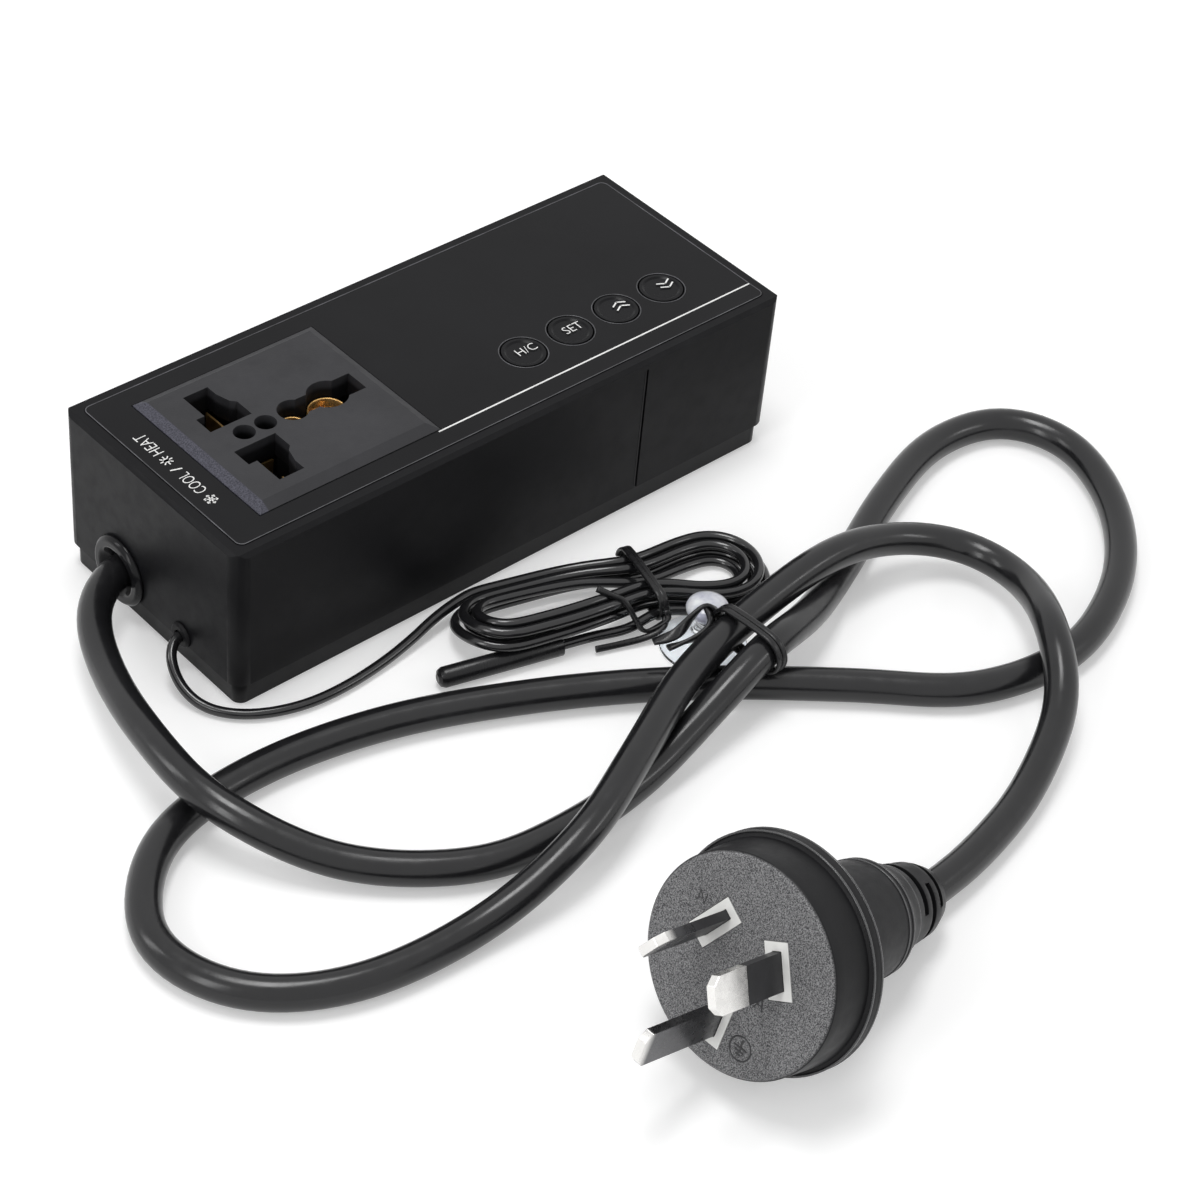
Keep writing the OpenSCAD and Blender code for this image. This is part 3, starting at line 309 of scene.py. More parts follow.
def strip(name, line, side_at, width, thick, sides, closed=False, **rest):
    """A flat strip with rounded edges along a line. side_at gives the direction of its width."""
    def rounded(share):
        return math.copysign(abs(share) ** 0.6, share)

    verts, n = [], len(line)
    for i, p in enumerate(line):
        after = line[(i + 1) % n] if closed else line[min(i + 1, n - 1)]
        before = line[i - 1] if closed else line[max(i - 1, 0)]
        ahead = (after - before).normalized()
        side = side_at(i, ahead)
        up = ahead.cross(side)
        for k in range(sides):
            a = 2 * math.pi * (k + 0.5) / sides
            verts.append(p + side * (width * MM / 2 * rounded(math.cos(a)))
                         + up * (thick * MM / 2 * rounded(math.sin(a))))
    faces = wall(n, sides, closed)
    if not closed:
        faces += ends(n, sides)
    return mesh_piece(name, verts, faces, **rest)


def sweep(name, line, side, width, thick, **rest):
    """A strip whose width keeps as near to one direction as its line allows."""
    def side_at(_, ahead):
        return (side - side.dot(ahead) * ahead).normalized()

    return strip(name, line, side_at, width, thick, 12, **rest)


def arc_line(place, radius, height, first=0, last=360, count=96):
    """Points on a circle round z, from one angle to another, in degrees."""
    parts = count if last - first == 360 else count - 1
    return [place @ circle_point(radius, math.radians(first + (last - first) * k / parts), height)
            for k in range(count)]


def bead(name, place, radius, height, thick, **rest):
    axis = place.to_3x3() @ UP
    return sweep(name, arc_line(place, radius, height), axis, thick, thick, closed=True, **rest)


INK = 0.03


def bars(name, strokes, place, z=0, thick=INK, **rest):
    """Flat strokes of print: each is (x0, y0, x1, y1, width)."""
    verts, faces = [], []
    for x0, y0, x1, y1, width in strokes:
        a, b = Vector((x0, y0)), Vector((x1, y1))
        ahead = (b - a).normalized()
        across = Vector((-ahead.y, ahead.x)) * width / 2
        n = len(verts)
        for high in (z, z + thick):
            for p in (a - across, b - across, b + across, a + across):
                verts.append(place @ (Vector((p.x, p.y, high)) * MM))
        faces += [(n, n + 3, n + 2, n + 1), (n + 4, n + 5, n + 6, n + 7)]
        faces += [(n + k, n + (k + 1) % 4, n + 4 + (k + 1) % 4, n + 4 + k) for k in range(4)]
    return mesh_piece(name, verts, faces, smooth=False, **rest)


def flat_ring(name, place, inner, outer, z, thick, **rest):
    """A ring that lies flat, with slanted flanks."""
    sides, slant = 72, 0.3 * (outer - inner)
    section = ((inner, z), (outer, z), (outer - slant, z + thick), (inner + slant, z + thick))
    verts = [place @ circle_point(r, 2 * math.pi * k / sides, high)
             for k in range(sides) for r, high in section]
    return mesh_piece(name, verts, wall(sides, len(section), closed=True), **rest)


def lettering(name, text, width, height, place, body=BODY):
    """Generic marks, flat on a surface, as wide and as high as given."""
    data = bpy.data.curves.new(name + "_curve", "FONT")
    data.body, data.size = text, MM
    data.extrude, data.offset, data.resolution_u = 0.02 * MM, -0.012 * MM, 4
    source = add(name + "_source", data)
    bpy.context.view_layer.update()
    flat = source.evaluated_get(bpy.context.evaluated_depsgraph_get())
    mesh = bpy.data.meshes.new_from_object(flat)
    bpy.data.objects.remove(source)
    low = [min(v.co[k] for v in mesh.vertices) for k in range(2)]
    high = [max(v.co[k] for v in mesh.vertices) for k in range(2)]
    wide, tall = high[0] - low[0], high[1] - low[1]
    fit = Matrix.Diagonal((width * MM / wide, height * MM / tall, 1, 1))
    middle = Matrix.Translation((-(low[0] + high[0]) / 2, -(low[1] + high[1]) / 2, 0))
    mesh.transform(place @ fit @ middle)
    return settle(add(name, mesh), body)


# Materials
def own_place(tree):
    """The object's own coordinates."""
    node = tree.nodes.get("place")
    if not node:
        node = tree.nodes.new("ShaderNodeTexCoord")
        node.name = "place"
    return node.outputs["Object"]


def noise(tree, scale, detail, roughness):
    node = tree.nodes.new("ShaderNodeTexNoise")
    node.inputs["Scale"].default_value = scale
    node.inputs["Detail"].default_value = detail
    node.inputs["Roughness"].default_value = roughness
    tree.links.new(own_place(tree), node.inputs["Vector"])
    return node.outputs[0]


def between(tree, value, low, high, start=0.35, end=0.65):
    """low to high while value goes from start to end."""
    node = tree.nodes.new("ShaderNodeMapRange")
    node.inputs["From Min"].default_value = start
    node.inputs["From Max"].default_value = end
    node.inputs["To Min"].default_value = low
    node.inputs["To Max"].default_value = high
    tree.links.new(value, node.inputs["Value"])
    return node.outputs["Result"]


def colours(tree, value, first, second, start=0.35, end=0.65):
    """One colour to another while value goes from start to end."""
    node = tree.nodes.new("ShaderNodeValToRGB")
    low, high = node.color_ramp.elements
    low.position, high.position = start, end
    low.color, high.color = (*first, 1), (*second, 1)
    tree.links.new(value, node.inputs["Fac"])
    return node.outputs["Color"]


def bump(tree, shader, value, strength, depth):
    node = tree.nodes.new("ShaderNodeBump")
    node.inputs["Strength"].default_value = strength
    node.inputs["Distance"].default_value = depth
    tree.links.new(value, node.inputs["Height"])
    tree.links.new(node.outputs["Normal"], shader.inputs["Normal"])


def material(name, colour, rough, spread, blotch, rough_spread, grain=2600, depth=0.00002,
             strength=0.35, **sockets):
    """A surface with slow colour change, changing gloss and a fine grain.

    colour is linear, spread is its share of change, blotch and grain are noise scales, and depth
    is the grain's, in metres.
    """
    made = bpy.data.materials.new(name)
    made.use_nodes = True
    tree = made.node_tree
    shader = tree.nodes["Principled BSDF"]
    dark = [c * (1 - spread) for c in colour]
    light = [min(1, c * (1 + spread)) for c in colour]
    tree.links.new(colours(tree, noise(tree, blotch, 4, 0.6), dark, light),
                   shader.inputs["Base Color"])
    gloss = between(tree, noise(tree, blotch * 6, 3, 0.6),
                    rough - rough_spread, rough + rough_spread)
    tree.links.new(gloss, shader.inputs["Roughness"])
    bump(tree, shader, noise(tree, grain, 2, 0.6), strength, depth)
    for socket, value in sockets.items():
        shader.inputs[socket.replace("_", " ")].default_value = value
    return made


def along(tree, axis, start, end):
    """0 to 1 from start to end, in metres along an axis through the object's own coordinates."""
    dot = tree.nodes.new("ShaderNodeVectorMath")
    dot.operation = "DOT_PRODUCT"
    dot.inputs[1].default_value = axis
    tree.links.new(own_place(tree), dot.inputs[0])
    return between(tree, dot.outputs["Value"], 0, 1, start, end)


def zone(made, share, colour):
    """Lays another colour, a fixed one or a socket's, over a material's own, where share is 1."""
    tree = made.node_tree
    base = tree.nodes["Principled BSDF"].inputs["Base Color"]
    mix = tree.nodes.new("ShaderNodeMix")
    mix.data_type = "RGBA"
    factor, below, above, result = mix.inputs[0], mix.inputs[6], mix.inputs[7], mix.outputs[2]
    tree.links.new(share, factor)
    tree.links.new(base.links[0].from_socket, below)
    if isinstance(colour, tuple):
        above.default_value = (*colour, 1)
    else:
        tree.links.new(colour, above)
    tree.links.new(result, base)


def paint(piece, made):
    """Gives a piece, or the CAD node of that name, one material."""
    target = nodes[piece] if isinstance(piece, str) else piece
    if not target.material_slots:
        target.data.materials.append(made)
    for held in target.material_slots:
        held.material = made


LOOKS = {
    "shell": material("shell_black", (0.0075, 0.0075, 0.0085), 0.40, 0.12, 45, 0.05,
                      3200, 0.00003, 0.3, Specular_IOR_Level=0.09),
    "shell_bottom": material("base_black", (0.010, 0.010, 0.011), 0.36, 0.12, 45, 0.05,
                             3000, 0.00002, 0.25, Specular_IOR_Level=0.15),
    "screw_steel": material("zinc", (0.55, 0.55, 0.58), 0.32, 0.15, 400, 0.08,
                            3500, 0.00001, 0.2, Metallic=1.0),
    "overlay": material("film", (0.0085, 0.0085, 0.0095), 0.2, 0.12, 30, 0.04,
                        1500, 0.000012, 0.12, Specular_IOR_Level=0.1),
    "plate": material("plate_grey", (0.0265, 0.0265, 0.0295), 0.5, 0.15, 60, 0.06,
                      2600, 0.00005, 0.5, Specular_IOR_Level=0.25),
    "inner_plastic": material("inner", (0.006, 0.006, 0.0065), 0.6, 0.2, 90, 0.05,
                              Specular_IOR_Level=0.15),
    "contact_brass": material("brass", (0.85, 0.50, 0.18), 0.3, 0.25, 300, 0.1,
                              2500, 0.00002, 0.3, Metallic=0.75),
    "window": material("window_smoke", (0.03, 0.006, 0.006), 0.15, 0.15, 60, 0.04,
                       1800, 0.00001, 0.1),
    "board_green": material("board", (0.02, 0.11, 0.04), 0.4, 0.3, 150, 0.08, 1200, 0.00003, 0.4),
    "key": material("key_black", (0.0085, 0.0085, 0.0095), 0.25, 0.12, 90, 0.05,
                    2600, 0.00002, 0.2, Specular_IOR_Level=0.1),
    "plunger": material("plunger", (0.25, 0.04, 0.03), 0.45, 0.2, 200, 0.05),
    "board_brown": material("laminate", (0.24, 0.15, 0.06), 0.55, 0.25, 200, 0.06,
                            900, 0.00003, 0.4),
    "relay_blue": material("relay", (0.02, 0.07, 0.25), 0.35, 0.15, 90, 0.05),
    "core": material("taped_core", (0.38, 0.26, 0.05), 0.45, 0.25, 140, 0.08, 1500, 0.00004, 0.4),
    "capacitor": material("capacitor", (0.02, 0.02, 0.07), 0.4, 0.15, 120, 0.05),
    "terminal": material("terminal", (0.02, 0.14, 0.05), 0.45, 0.2, 120, 0.05),
    "grommet": material("grommet", (0.008, 0.008, 0.009), 0.16, 0.1, 120, 0.03,
                        1800, 0.00001, 0.1, Specular_IOR_Level=0.18),
    "cord_rubber": material("cord_black", (0.0105, 0.0105, 0.0115), 0.22, 0.15, 60, 0.05,
                            2200, 0.00002, 0.22, Specular_IOR_Level=0.45),
    "tie": material("tie_black", (0.009, 0.009, 0.010), 0.3, 0.2, 300, 0.06,
                    2500, 0.00003, 0.3, Specular_IOR_Level=0.35),
    "plug_plastic": material("plug_black", (0.0115, 0.0115, 0.0125), 0.42, 0.12, 60, 0.05,
                             2600, 0.00003, 0.3, Specular_IOR_Level=0.15),
    "pad_white": material("pad_white", (0.78, 0.78, 0.76), 0.4, 0.06, 200, 0.05,
                          2200, 0.00002, 0.25),
    "pin_metal": material("nickel", (0.80, 0.79, 0.77), 0.26, 0.05, 90, 0.05,
                          2600, 0.00001, 0.2, Metallic=1.0),
    "sleeve": material("sleeve_black", (0.036, 0.036, 0.038), 0.4, 0.15, 200, 0.05,
                       Specular_IOR_Level=0.25),
    "probe": material("probe_black", (0.010, 0.010, 0.011), 0.26, 0.15, 90, 0.05,
                      2200, 0.00002, 0.25, Specular_IOR_Level=0.3),
    "cup": material("clear_cup", (0.93, 0.96, 1.0), 0.06, 0.02, 90, 0.03,
                    900, 0.00002, 0.1, Transmission_Weight=1.0, IOR=1.33),
}

# Looks of single pieces
print_white = material("print_white", (0.80, 0.80, 0.79), 0.45, 0.08, 300, 0.05,
                       1500, 0.00001, 0.2)
# Pale grey: print of the rings round the keys, and painted highlight along the film's edge
ring_print_and_edge_highlight = material("ring_print_and_edge_highlight", (0.065, 0.065, 0.072), 0.35, 0.5, 260, 0.08,
                      1500, 0.00001, 0.2)
# Painted shade: the contacts' brass is dark, as they sit at the bottom of the openings
shaded_brass = material("brass_painted_shade", (0.26, 0.16, 0.06), 0.4, 0.3, 300, 0.1,
                      2500, 0.00002, 0.3, Metallic=0.8)
grommet_matt = material("grommet_matt", (0.007, 0.007, 0.008), 0.5, 0.15, 120, 0.05,
                        1800, 0.00002, 0.2, Specular_IOR_Level=0.15)
cloudy_knob = material("cloudy_knob", (0.76, 0.77, 0.95), 0.08, 0.3, 260, 0.03,
                       900, 0.00003, 0.2, Transmission_Weight=0.35, IOR=1.45)
# The beads' look: glossy, and paler than the plug, a painted highlight
plug_bead_highlight = material("plug_bead_highlight", (0.03, 0.03, 0.032), 0.25, 0.12, 60, 0.05,
                     2600, 0.00002, 0.2, Specular_IOR_Level=0.8)
plug_mark = material("plug_mark", (0.022, 0.022, 0.024), 0.4, 0.12, 200, 0.05, 2600, 0.00002, 0.2)
lead_black = material("lead_black", (0.010, 0.010, 0.011), 0.17, 0.15, 90, 0.04,
                      1500, 0.00002, 0.2, Specular_IOR_Level=0.6)

# The plate: speckled on its left bevel, which is also painted paler there as lit by the left lamp,
# and painted shade inside its openings
PLATE_TOP, PLATE_BEVEL, OPENING_DEPTH = 37.3, 2, 1.4
SPECKLE_DARK, SPECKLE_PALE_LIT = (0.022, 0.022, 0.031), (0.085, 0.085, 0.108)
OPENING_PAINTED_SHADE = (0.005, 0.005, 0.006)
plate_tree = LOOKS["plate"].node_tree
bevel_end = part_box("outlet_plate")[0][0] + PLATE_BEVEL * MM
# The left bevel's speckled grain, painted paler than the plate as light from the left lamp falls on
# that side
bevel_speckle_and_light = colours(plate_tree, noise(plate_tree, 3600, 2, 0.7), SPECKLE_DARK, SPECKLE_PALE_LIT)
zone(LOOKS["plate"], along(plate_tree, (1, 0, 0), bevel_end, bevel_end - 0.2 * MM), bevel_speckle_and_light)
# Painted shade inside the openings: the plate's colour turns dark below their rim, as the recesses
# fall into shade
opening = (PLATE_TOP - OPENING_DEPTH) * MM
zone(LOOKS["plate"], along(plate_tree, (0, 0, 1), opening, opening - 0.8 * MM), OPENING_PAINTED_SHADE)

# The plug: grainier on its face, and paler there, partly from its own plastic and partly as painted
# light where the left lamp falls, with painted sheen on its grain
PLUG_OUT = PLUG_TURN @ UP
FACE_DARK, FACE_PALE_LIT = (0.04, 0.04, 0.043), (0.29, 0.29, 0.295)
face_at = PLUG_OUT.dot(PLUG_AT)
plug_tree = LOOKS["plug_plastic"].node_tree
# Painted light and sheen with the grain: pale specks over a darker face
face_grain_and_light = colours(plug_tree, noise(plug_tree, 4300, 2, 0.7), FACE_DARK, FACE_PALE_LIT, 0.38, 0.64)
on_the_face = along(plug_tree, tuple(PLUG_OUT), face_at - 0.5 * MM, face_at - 0.2 * MM)
zone(LOOKS["plug_plastic"], on_the_face, face_grain_and_light)


def pin_look(name, end):
    """Metal of a blade, with a painted dark reflection on it up to a distance in front of the
    plug's face, in mm.
    """
    look = material(name, (0.80, 0.79, 0.77), 0.28, 0.05, 90, 0.05,
                    2600, 0.00001, 0.2, Metallic=1.0)
    start, stop = face_at + (end + 0.8) * MM, face_at + (end - 0.8) * MM
    # Painted dark reflection: the blade's body is coloured dark grey up to that distance
    zone(look, along(look.node_tree, tuple(PLUG_OUT), start, stop), (0.13, 0.13, 0.135))
    return look


for row in frame["record"]["subparts"]:
    paint(row["node"], LOOKS[row["material_slot"]])
paint("plug_pin_earth", pin_look("pin_dark_reflection_earth", 18.6))
paint("plug_pin_neutral", pin_look("pin_dark_reflection_neutral", 14.2))
# The contacts get brass that is painted dark as shade
paint("contact_live", shaded_brass)
paint("contact_neutral", shaded_brass)
paint("sensor_grommet", grommet_matt)


# Ties
def tie_loop(name, place, half, height, width, thick, gap, cad):
    """Two rounds of a flat tie, a gap apart, in the plane across x. half is half their width."""
    rounds, steps = 2, 44
    radius = height / 2
    flat = half - radius
    line = []
    for i in range(steps * rounds + 1):
        f = i / steps
        c, s = math.cos(2 * math.pi * f), math.sin(2 * math.pi * f)
        y = radius * c + math.copysign(flat, c) * min(1, abs(c) * 3)     # straight on top and below
        line.append(place @ (Vector((gap * (f - rounds / 2), y, radius * s)) * MM))
    side = (place.to_3x3() @ Vector((1, 0, 0))).normalized()
    return sweep(name, line, side, width, thick, slot="tie", replaces=(cad,))


def tie_tail(name, place, points, width, thick, turn):
    """A tail through points, which twists by so many degrees to its end."""
    line = even_path([place @ (Vector(p) * MM) for p in points], 0.5 * MM, 2)

    def side_at(i, ahead):
        twist = Matrix.Rotation(math.radians(turn) * i / (len(line) - 1), 3, ahead)
        return twist @ ahead.cross(UP).normalized()

    return strip(name, line, side_at, width, thick, 10, slot="tie")


MAINS_TIE = shifted(12.06, -77.2, 11.9) @ turned(14.5)
HANK_TIE = Matrix.Translation(HANK_AT * MM) @ HANK_TURN @ shifted(HANK_WAIST, 0, 4.51)
ties = [
    tie_loop("mains_tie_rounds", MAINS_TIE @ turned(-12), 8.2, 8.5, 1.2, 0.75, 1.3, "mains_tie"),
    tie_tail("mains_tie_tail_1", MAINS_TIE, [
        (1.6, 7.3, -0.2), (1.5, 9.2, 1.6), (0.2, 10.4, 2.1), (-2.3, 11, 1.1), (-7.4, 11.3, 0.1),
        (-10.9, 13.9, -0.9)], 2.1, 0.9, 200),
    tie_tail("mains_tie_tail_2", MAINS_TIE, [
        (1.2, 8.0, -1.2), (1.8, 9.6, 0.2), (0.2, 9.4, 1.6), (-1.4, 7.9, 1.7), (-3.1, 6.9, 1.3),
        (-5.7, 7.8, 0.1), (-10.6, 10.9, -0.9)], 2.1, 0.9, -160),
    tie_loop("hank_tie_rounds", HANK_TIE, 8.95, 6.5, 1.1, 0.7, 0.9, "hank_tie"),
    tie_tail("hank_tie_tail_1", HANK_TIE, [
        (0.2, -8.9, 0.4), (0.4, -10.0, -0.8), (-2.0, -10.2, -2.0), (-4.7, -10.0, -2.4),
        (-6.6, -9.1, 1.0), (-8.0, -7.3, 3.9), (-10, -5.4, 4.6), (-12, -3.5, 5.2)], 1.3, 0.8, 120),
    tie_tail("hank_tie_tail_2", HANK_TIE, [
        (0.2, -8.9, -0.9), (-0.6, -10.6, -1.6), (-2.4, -11.0, -2.6), (-5.3, -10.9, -3.3),
        (-9.5, -10.6, -3.5), (-14.8, -10.3, -3.4)], 1.3, 0.8, -60)]
for piece in ties:
    paint(piece, LOOKS["tie"])

# Suction cup
CUP = shifted(14, -64.3, 0)
CUP_PROFILE = [(0, 2.6), (1.2, 2.55), (2.4, 2.2), (4.0, 0.9), (5.4, 0.12), (6.4, 0), (8.1, 0),
               (8.38, 0.12), (8.4, 0.32), (8.1, 0.5), (6.8, 0.62), (5.8, 0.9), (4.4, 2.2),
               (3.0, 3.4), (2.2, 4.2), (1.9, 5.4), (1.9, 6.5), (0, 6.5)]
KNOB_PROFILE = [(0, 6.4), (1.7, 6.4), (2.2, 7.3), (3.3, 7.9), (4.0, 8.7), (4.1, 9.4), (3.8, 10.1),
                (2.9, 10.6), (1.5, 10.8), (0, 10.8)]
for name, profile, look in (("suction_cup_clear", CUP_PROFILE, LOOKS["cup"]),
                            ("suction_cup_knob", KNOB_PROFILE, cloudy_knob)):
    paint(revolve(name, profile, CUP, slot="cup", replaces=("suction_cup",)), look)

# Print on the film, and a fine ring round each key
FILM_Z = 36.11
KEY_X, KEY_Y, KEY_Z = (12.85, 24.65, 36.45, 48.25), -10.5, 36.21
KEY_RING_INNER, KEY_RING_OUTER = 4.65, 4.9
LINE_START, LINE_END, LINE_Y = -15.4, 63.6, -19.6
prints = [bars("film_line", [(LINE_START, LINE_Y, LINE_END, LINE_Y, 0.34)], Matrix.Identity(4),
               FILM_Z, slot="overlay")]
for i, x in enumerate(KEY_X):
    ring = flat_ring(f"key_ring_{i + 1}", shifted(x, KEY_Y, 0), KEY_RING_INNER, KEY_RING_OUTER,
                     FILM_Z, 0.08, slot="overlay")
    paint(ring, ring_print_and_edge_highlight)

# The film's cut edge, a thin pale line all round it: a painted highlight
EDGE_IN, EDGE_CORNER = 0.12, 1.4
film_low, film_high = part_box("top_overlay")
inset = (EDGE_IN + EDGE_CORNER) * MM
left, right = film_low.x + inset, film_high.x - inset
front, back = film_low.y + inset, film_high.y - inset
edge = []
for first, x, y in ((0, right, back), (90, left, back), (180, left, front), (270, right, front)):
    edge += arc_line(Matrix.Translation((x, y, 0)), EDGE_CORNER, FILM_Z + 0.01,
                     first, first + 90, 9)
paint(sweep("film_edge", edge, UP, 0.08, 0.2, closed=True, slot="overlay"), ring_print_and_edge_highlight)


# Print on the keys: words, and double chevrons that point up or down
CHEVRON_HALF, CHEVRON_RISE, CHEVRON_APART, CHEVRON_PEN = 1.6, 0.45, 0.65, 0.32


def on_key(i, x, y, z):
    return shifted(KEY_X[i] + x, KEY_Y + y, KEY_Z + z)


prints.append(lettering("mark_mode", "H/C", 4.5, 2.0, on_key(0, 0.9, 0.35, 0.01), body="mode_key"))
prints.append(lettering("mark_set", "SET", 4.3, 2.1, on_key(1, 0.8, 0.35, 0.01), body="set_key"))
for name, body, i, sign, x, y in (("mark_up", "up_key", 2, 1, 1.35, 0.45),
                                  ("mark_down", "down_key", 3, -1, 1.55, 0.3)):
    strokes = []
    for middle in (-CHEVRON_APART, CHEVRON_APART):
        foot = middle - CHEVRON_RISE * sign
        tip = middle + (CHEVRON_RISE + 0.03) * sign
        strokes += [(-CHEVRON_HALF, foot, 0.1, tip, CHEVRON_PEN),
                    (-0.1, tip, CHEVRON_HALF, foot, CHEVRON_PEN)]
    prints.append(bars(name, strokes, on_key(i, x, y, -0.005), slot="overlay", body=body))

# Print on the strip left of the outlet, which reads along y: words, a slash and two signs
STRIP = shifted(-60.05, 0, FILM_Z + 0.02) @ turned(90)
LETTER_HEIGHT = 2.36
SUN_AT, SUN_DISC, SUN_RAY_START, SUN_RAY_END = 2.75, 0.55, 0.6, 1.28
SNOW_AT, SNOW_ARM, SNOW_FORK, SNOW_TWIG = -10.6, 1.3, 0.75, 0.45


def direction(degrees):
    return Vector((math.cos(math.radians(degrees)), math.sin(math.radians(degrees))))


prints.append(lettering("mark_cool", "COOL", 6.2, LETTER_HEIGHT, STRIP @ shifted(-5.0, 0, 0)))
prints.append(lettering("mark_heat", "HEAT", 6.5, LETTER_HEIGHT, STRIP @ shifted(8.3, 0, 0)))
prints.append(bars("mark_slash", [(-0.64, -1.01, 0.06, 1.14, 0.3)], STRIP, slot="overlay"))
sun = [(*direction(45 * k) * SUN_RAY_START, *direction(45 * k) * SUN_RAY_END, 0.24)
       for k in range(8)]
sun += [(-SUN_DISC, 0, SUN_DISC, 0, 1.1), (0, -SUN_DISC, 0, SUN_DISC, 0.62)]
prints.append(bars("mark_sun", sun, STRIP @ shifted(SUN_AT, 0, 0), slot="overlay"))
snow = []
for k in range(6):
    arm = direction(60 * k)
    snow.append((0, 0, *arm * SNOW_ARM, 0.26))
    for turn in (40, -40):
        fork = arm * SNOW_FORK
        snow.append((*fork, *fork + direction(60 * k + turn) * SNOW_TWIG, 0.22))
prints.append(bars("mark_snow", snow, STRIP @ shifted(SNOW_AT, 0, 0), slot="overlay"))
for piece in prints:
    paint(piece, print_white)

# The ring-shaped springs of the earth contact: half circles under the round openings
SPRING_Z, SPRING_HEIGHT, SPRING_THICK = 32.5, 2.2, 0.4
for name, x, radius in (("earth_spring_wide", -25.85, 3.6), ("earth_spring_narrow", -33.85, 2.6)):
    line = arc_line(shifted(x, 0, 0), radius, SPRING_Z, 0, 180, 40)
    spring = sweep(name, line, UP, SPRING_HEIGHT, SPRING_THICK, slot="contact_brass")
    paint(spring, LOOKS["contact_brass"])

# Beads round the plug, glossy and painted paler than the plug as highlight lines on its rims and
# rings: radius, distance behind the plug's face, and thickness
on_plug = []
for i, (radius, behind, thick) in enumerate((
        (20.2, 8.75, 0.45), (20.2, 10.85, 0.45), (12.75, 12.1, 0.5), (12.05, 15.2, 0.4),
        (10.3, 33.2, 0.4), (10.15, 34.6, 0.4), (8.25, 39.2, 0.4))):
    piece = bead(f"plug_bead_highlight_{i + 1}", PLUG, radius, -behind, thick, slot="plug_plastic")
    paint(piece, plug_bead_highlight)
    on_plug.append(piece)


def on_face(x, y, lift=0):
    """A place on the plug's face, in mm from its middle, for marks that read along its y axis."""
    return PLUG @ shifted(x, y, 0) @ turned(90) @ shifted(0, 0, lift)


# Marks on the plug's face, which start just under it
SUNK, RAISED = -0.02, 0.12
EARTH_SIGN = [(0, 0.2, 0, 1.7, 0.3), (-1.35, 0.2, 1.35, 0.2, 0.3),
              (-0.95, -0.45, 0.95, -0.45, 0.3), (-0.5, -1.1, 0.5, -1.1, 0.3)]
marks = [
    lettering("mark_neutral", "N", 1.6, 2.0, on_face(-6.4, -10.7, 0.04)),
    lettering("mark_active", "A", 1.9, 2.3, on_face(2.9, 6.2, 0.04)),
    bars("mark_earth", EARTH_SIGN, on_face(12.1, 6.0), SUNK, RAISED, slot="plug_plastic"),
    flat_ring("mark_earth_ring", on_face(12.1, 6.0), 1.95, 2.3, SUNK, RAISED, slot="plug_plastic")]
for piece in marks:
    paint(piece, plug_mark)
on_plug += marks

# The mould line on the housing's front wall
FRONT = shifted(30, -26.5, 0) @ turned(90, "X")
paint(bars("mould_line", [(0, 5.4, 0, 33.5, 0.22)], FRONT, -0.02, 0.07, slot="shell"),
      LOOKS["shell_bottom"])


# Edges of the moulded parts catch light
def soften(name, width):
    """Welds a CAD mesh's doubled corners and rounds its sharp edges, by a width in mm."""
    node = nodes[name]
    weld = node.modifiers.new("weld", "WELD")
    weld.merge_threshold = 0.002 * MM
    rounding = node.modifiers.new("edges", "BEVEL")
    rounding.width, rounding.segments = width * MM, 2
    rounding.limit_method, rounding.angle_limit = "ANGLE", math.radians(35)


for name, width in (("upper_shell", 0.4), ("base_cover", 0.3), ("top_overlay", 0.12),
                    ("outlet_plate", 0.25), ("key_mode", 0.2), ("key_set", 0.2), ("key_up", 0.2),
                    ("key_down", 0.2), ("plug_body", 0.4), ("pin_carrier", 0.15),
                    ("plug_pin_active", 0.12), ("plug_pin_neutral", 0.12),
                    ("plug_pin_earth", 0.12), ("cord_grommet", 0.3), ("sensor_grommet", 0.2),
                    ("sensor_probe", 0.3)):
    soften(name, width)

# Cords
settle(mains, BODY, ("mains_cord",))
paint(mains, LOOKS["cord_rubber"])
settle(lead, BODY, ("sensor_lead", "sensor_hank"))
paint(lead, lead_black)


# Floor, world and lamps
FLOOR_HALF, FLOOR_Z = 4.0, -0.0002     # in metres: just under the object
FLOOR_COLOUR, FLOOR_GLOW = 0.8, 0.3    # its own colour takes the shadows, the glow makes it white
WORLD_LIGHT = 0.55


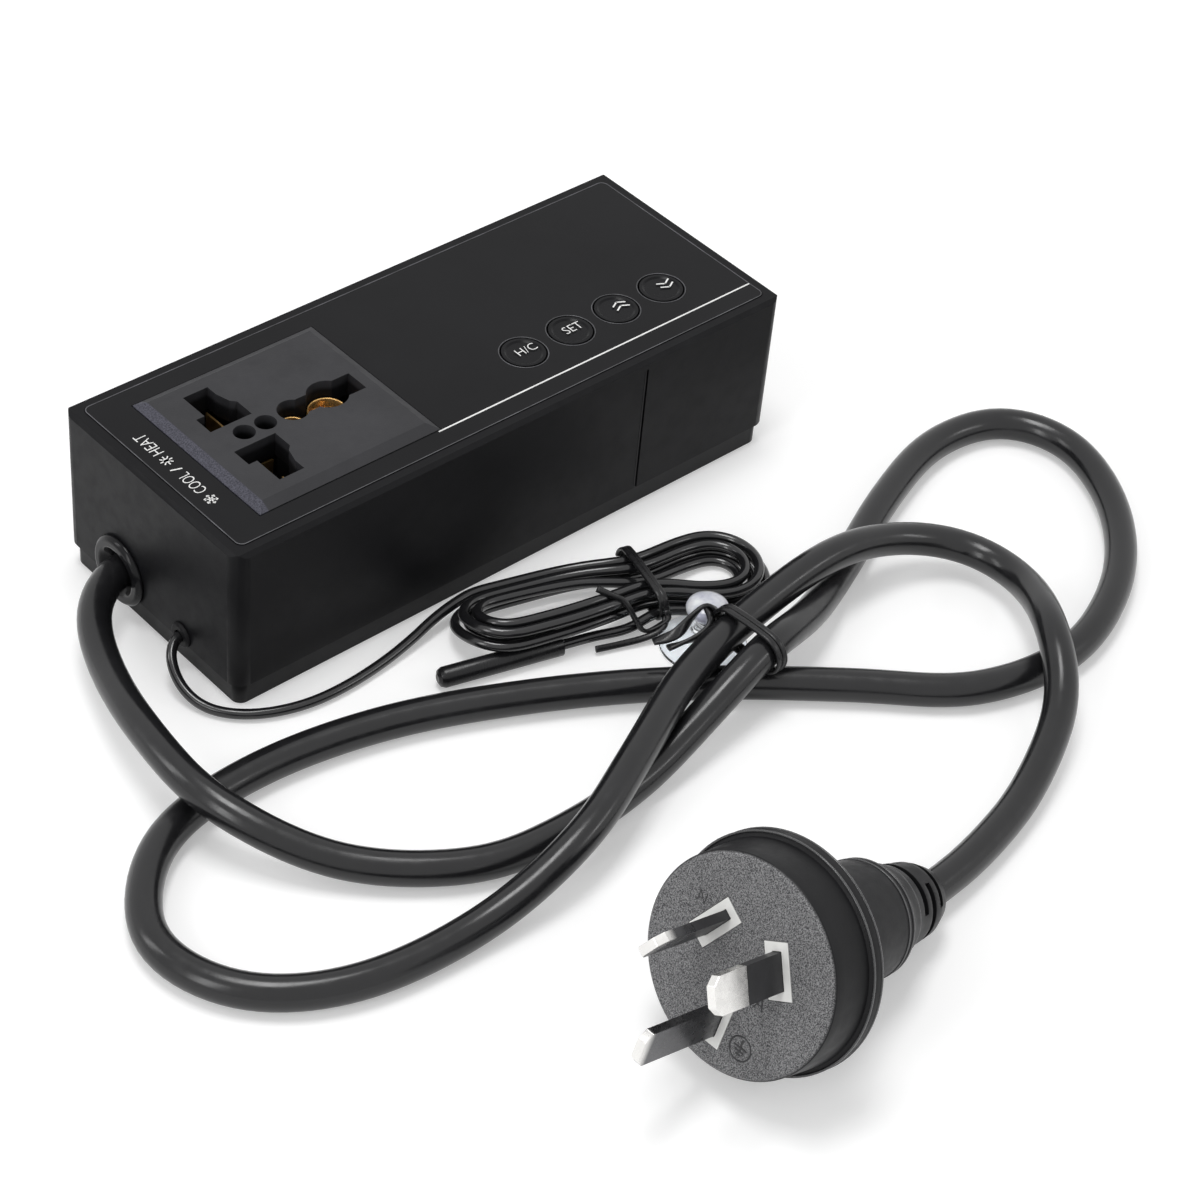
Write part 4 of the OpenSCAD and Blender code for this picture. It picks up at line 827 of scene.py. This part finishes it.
def seen_as_background(tree):
    """1 for rays that show the background: from the camera, in gloss, through clear things."""
    path = tree.nodes.new("ShaderNodeLightPath")
    total = path.outputs["Is Camera Ray"]
    for ray in ("Is Glossy Ray", "Is Transmission Ray"):
        most = tree.nodes.new("ShaderNodeMath")
        most.operation = "MAXIMUM"
        tree.links.new(total, most.inputs[0])
        tree.links.new(path.outputs[ray], most.inputs[1])
        total = most.outputs["Value"]
    return total


def make_floor():
    corners = [(x * FLOOR_HALF, y * FLOOR_HALF, FLOOR_Z)
               for x, y in ((-1, -1), (1, -1), (1, 1), (-1, 1))]
    data = bpy.data.meshes.new("floor")
    data.from_pydata(corners, [], [(0, 1, 2, 3)])
    made = bpy.data.materials.new("floor_white")
    made.use_nodes = True
    tree = made.node_tree
    shader = tree.nodes["Principled BSDF"]
    shader.inputs["Base Color"].default_value = (FLOOR_COLOUR, FLOOR_COLOUR, FLOOR_COLOUR, 1)
    shader.inputs["Roughness"].default_value = 1.0
    shader.inputs["Specular IOR Level"].default_value = 0.0
    shader.inputs["Emission Color"].default_value = (1, 1, 1, 1)
    tree.links.new(between(tree, seen_as_background(tree), 0, FLOOR_GLOW, 0, 1),
                   shader.inputs["Emission Strength"])
    data.materials.append(made)
    add("floor", data)


def make_world():
    world = bpy.data.worlds.new("studio")
    world.use_nodes = True
    bpy.context.scene.world = world
    tree = world.node_tree
    back = tree.nodes["Background"]
    back.inputs["Color"].default_value = (1, 1, 1, 1)
    tree.links.new(between(tree, seen_as_background(tree), WORLD_LIGHT, 1, 0, 1),
                   back.inputs["Strength"])


def area(name, at, aim, size, power):
    """A lamp, in metres and watts."""
    data = bpy.data.lights.new(name, "AREA")
    data.shape, data.size, data.size_y = "RECTANGLE", size[0], size[1]
    data.energy = power
    light = add(name, data)
    light.location = at
    light.rotation_euler = (Vector(aim) - Vector(at)).to_track_quat("-Z", "Y").to_euler()


make_floor()
make_world()
area("overhead", (-0.05, 0.05, 1.0), (0, -0.05, 0), (0.45, 0.3), 4)
area("left_front", (-0.95, -0.15, 0.55), (-0.02, -0.03, 0.02), (0.25, 0.6), 2.2)
area("right_front", (0.60, -0.77, 0.60), (0.02, -0.05, 0.02), (0.4, 0.1), 0.7)
area("left_back", (-0.72, 0.56, 0.58), (-0.02, -0.03, 0.02), (0.2, 0.5), 1.2)
bpy.context.scene.view_settings.view_transform = "Standard"
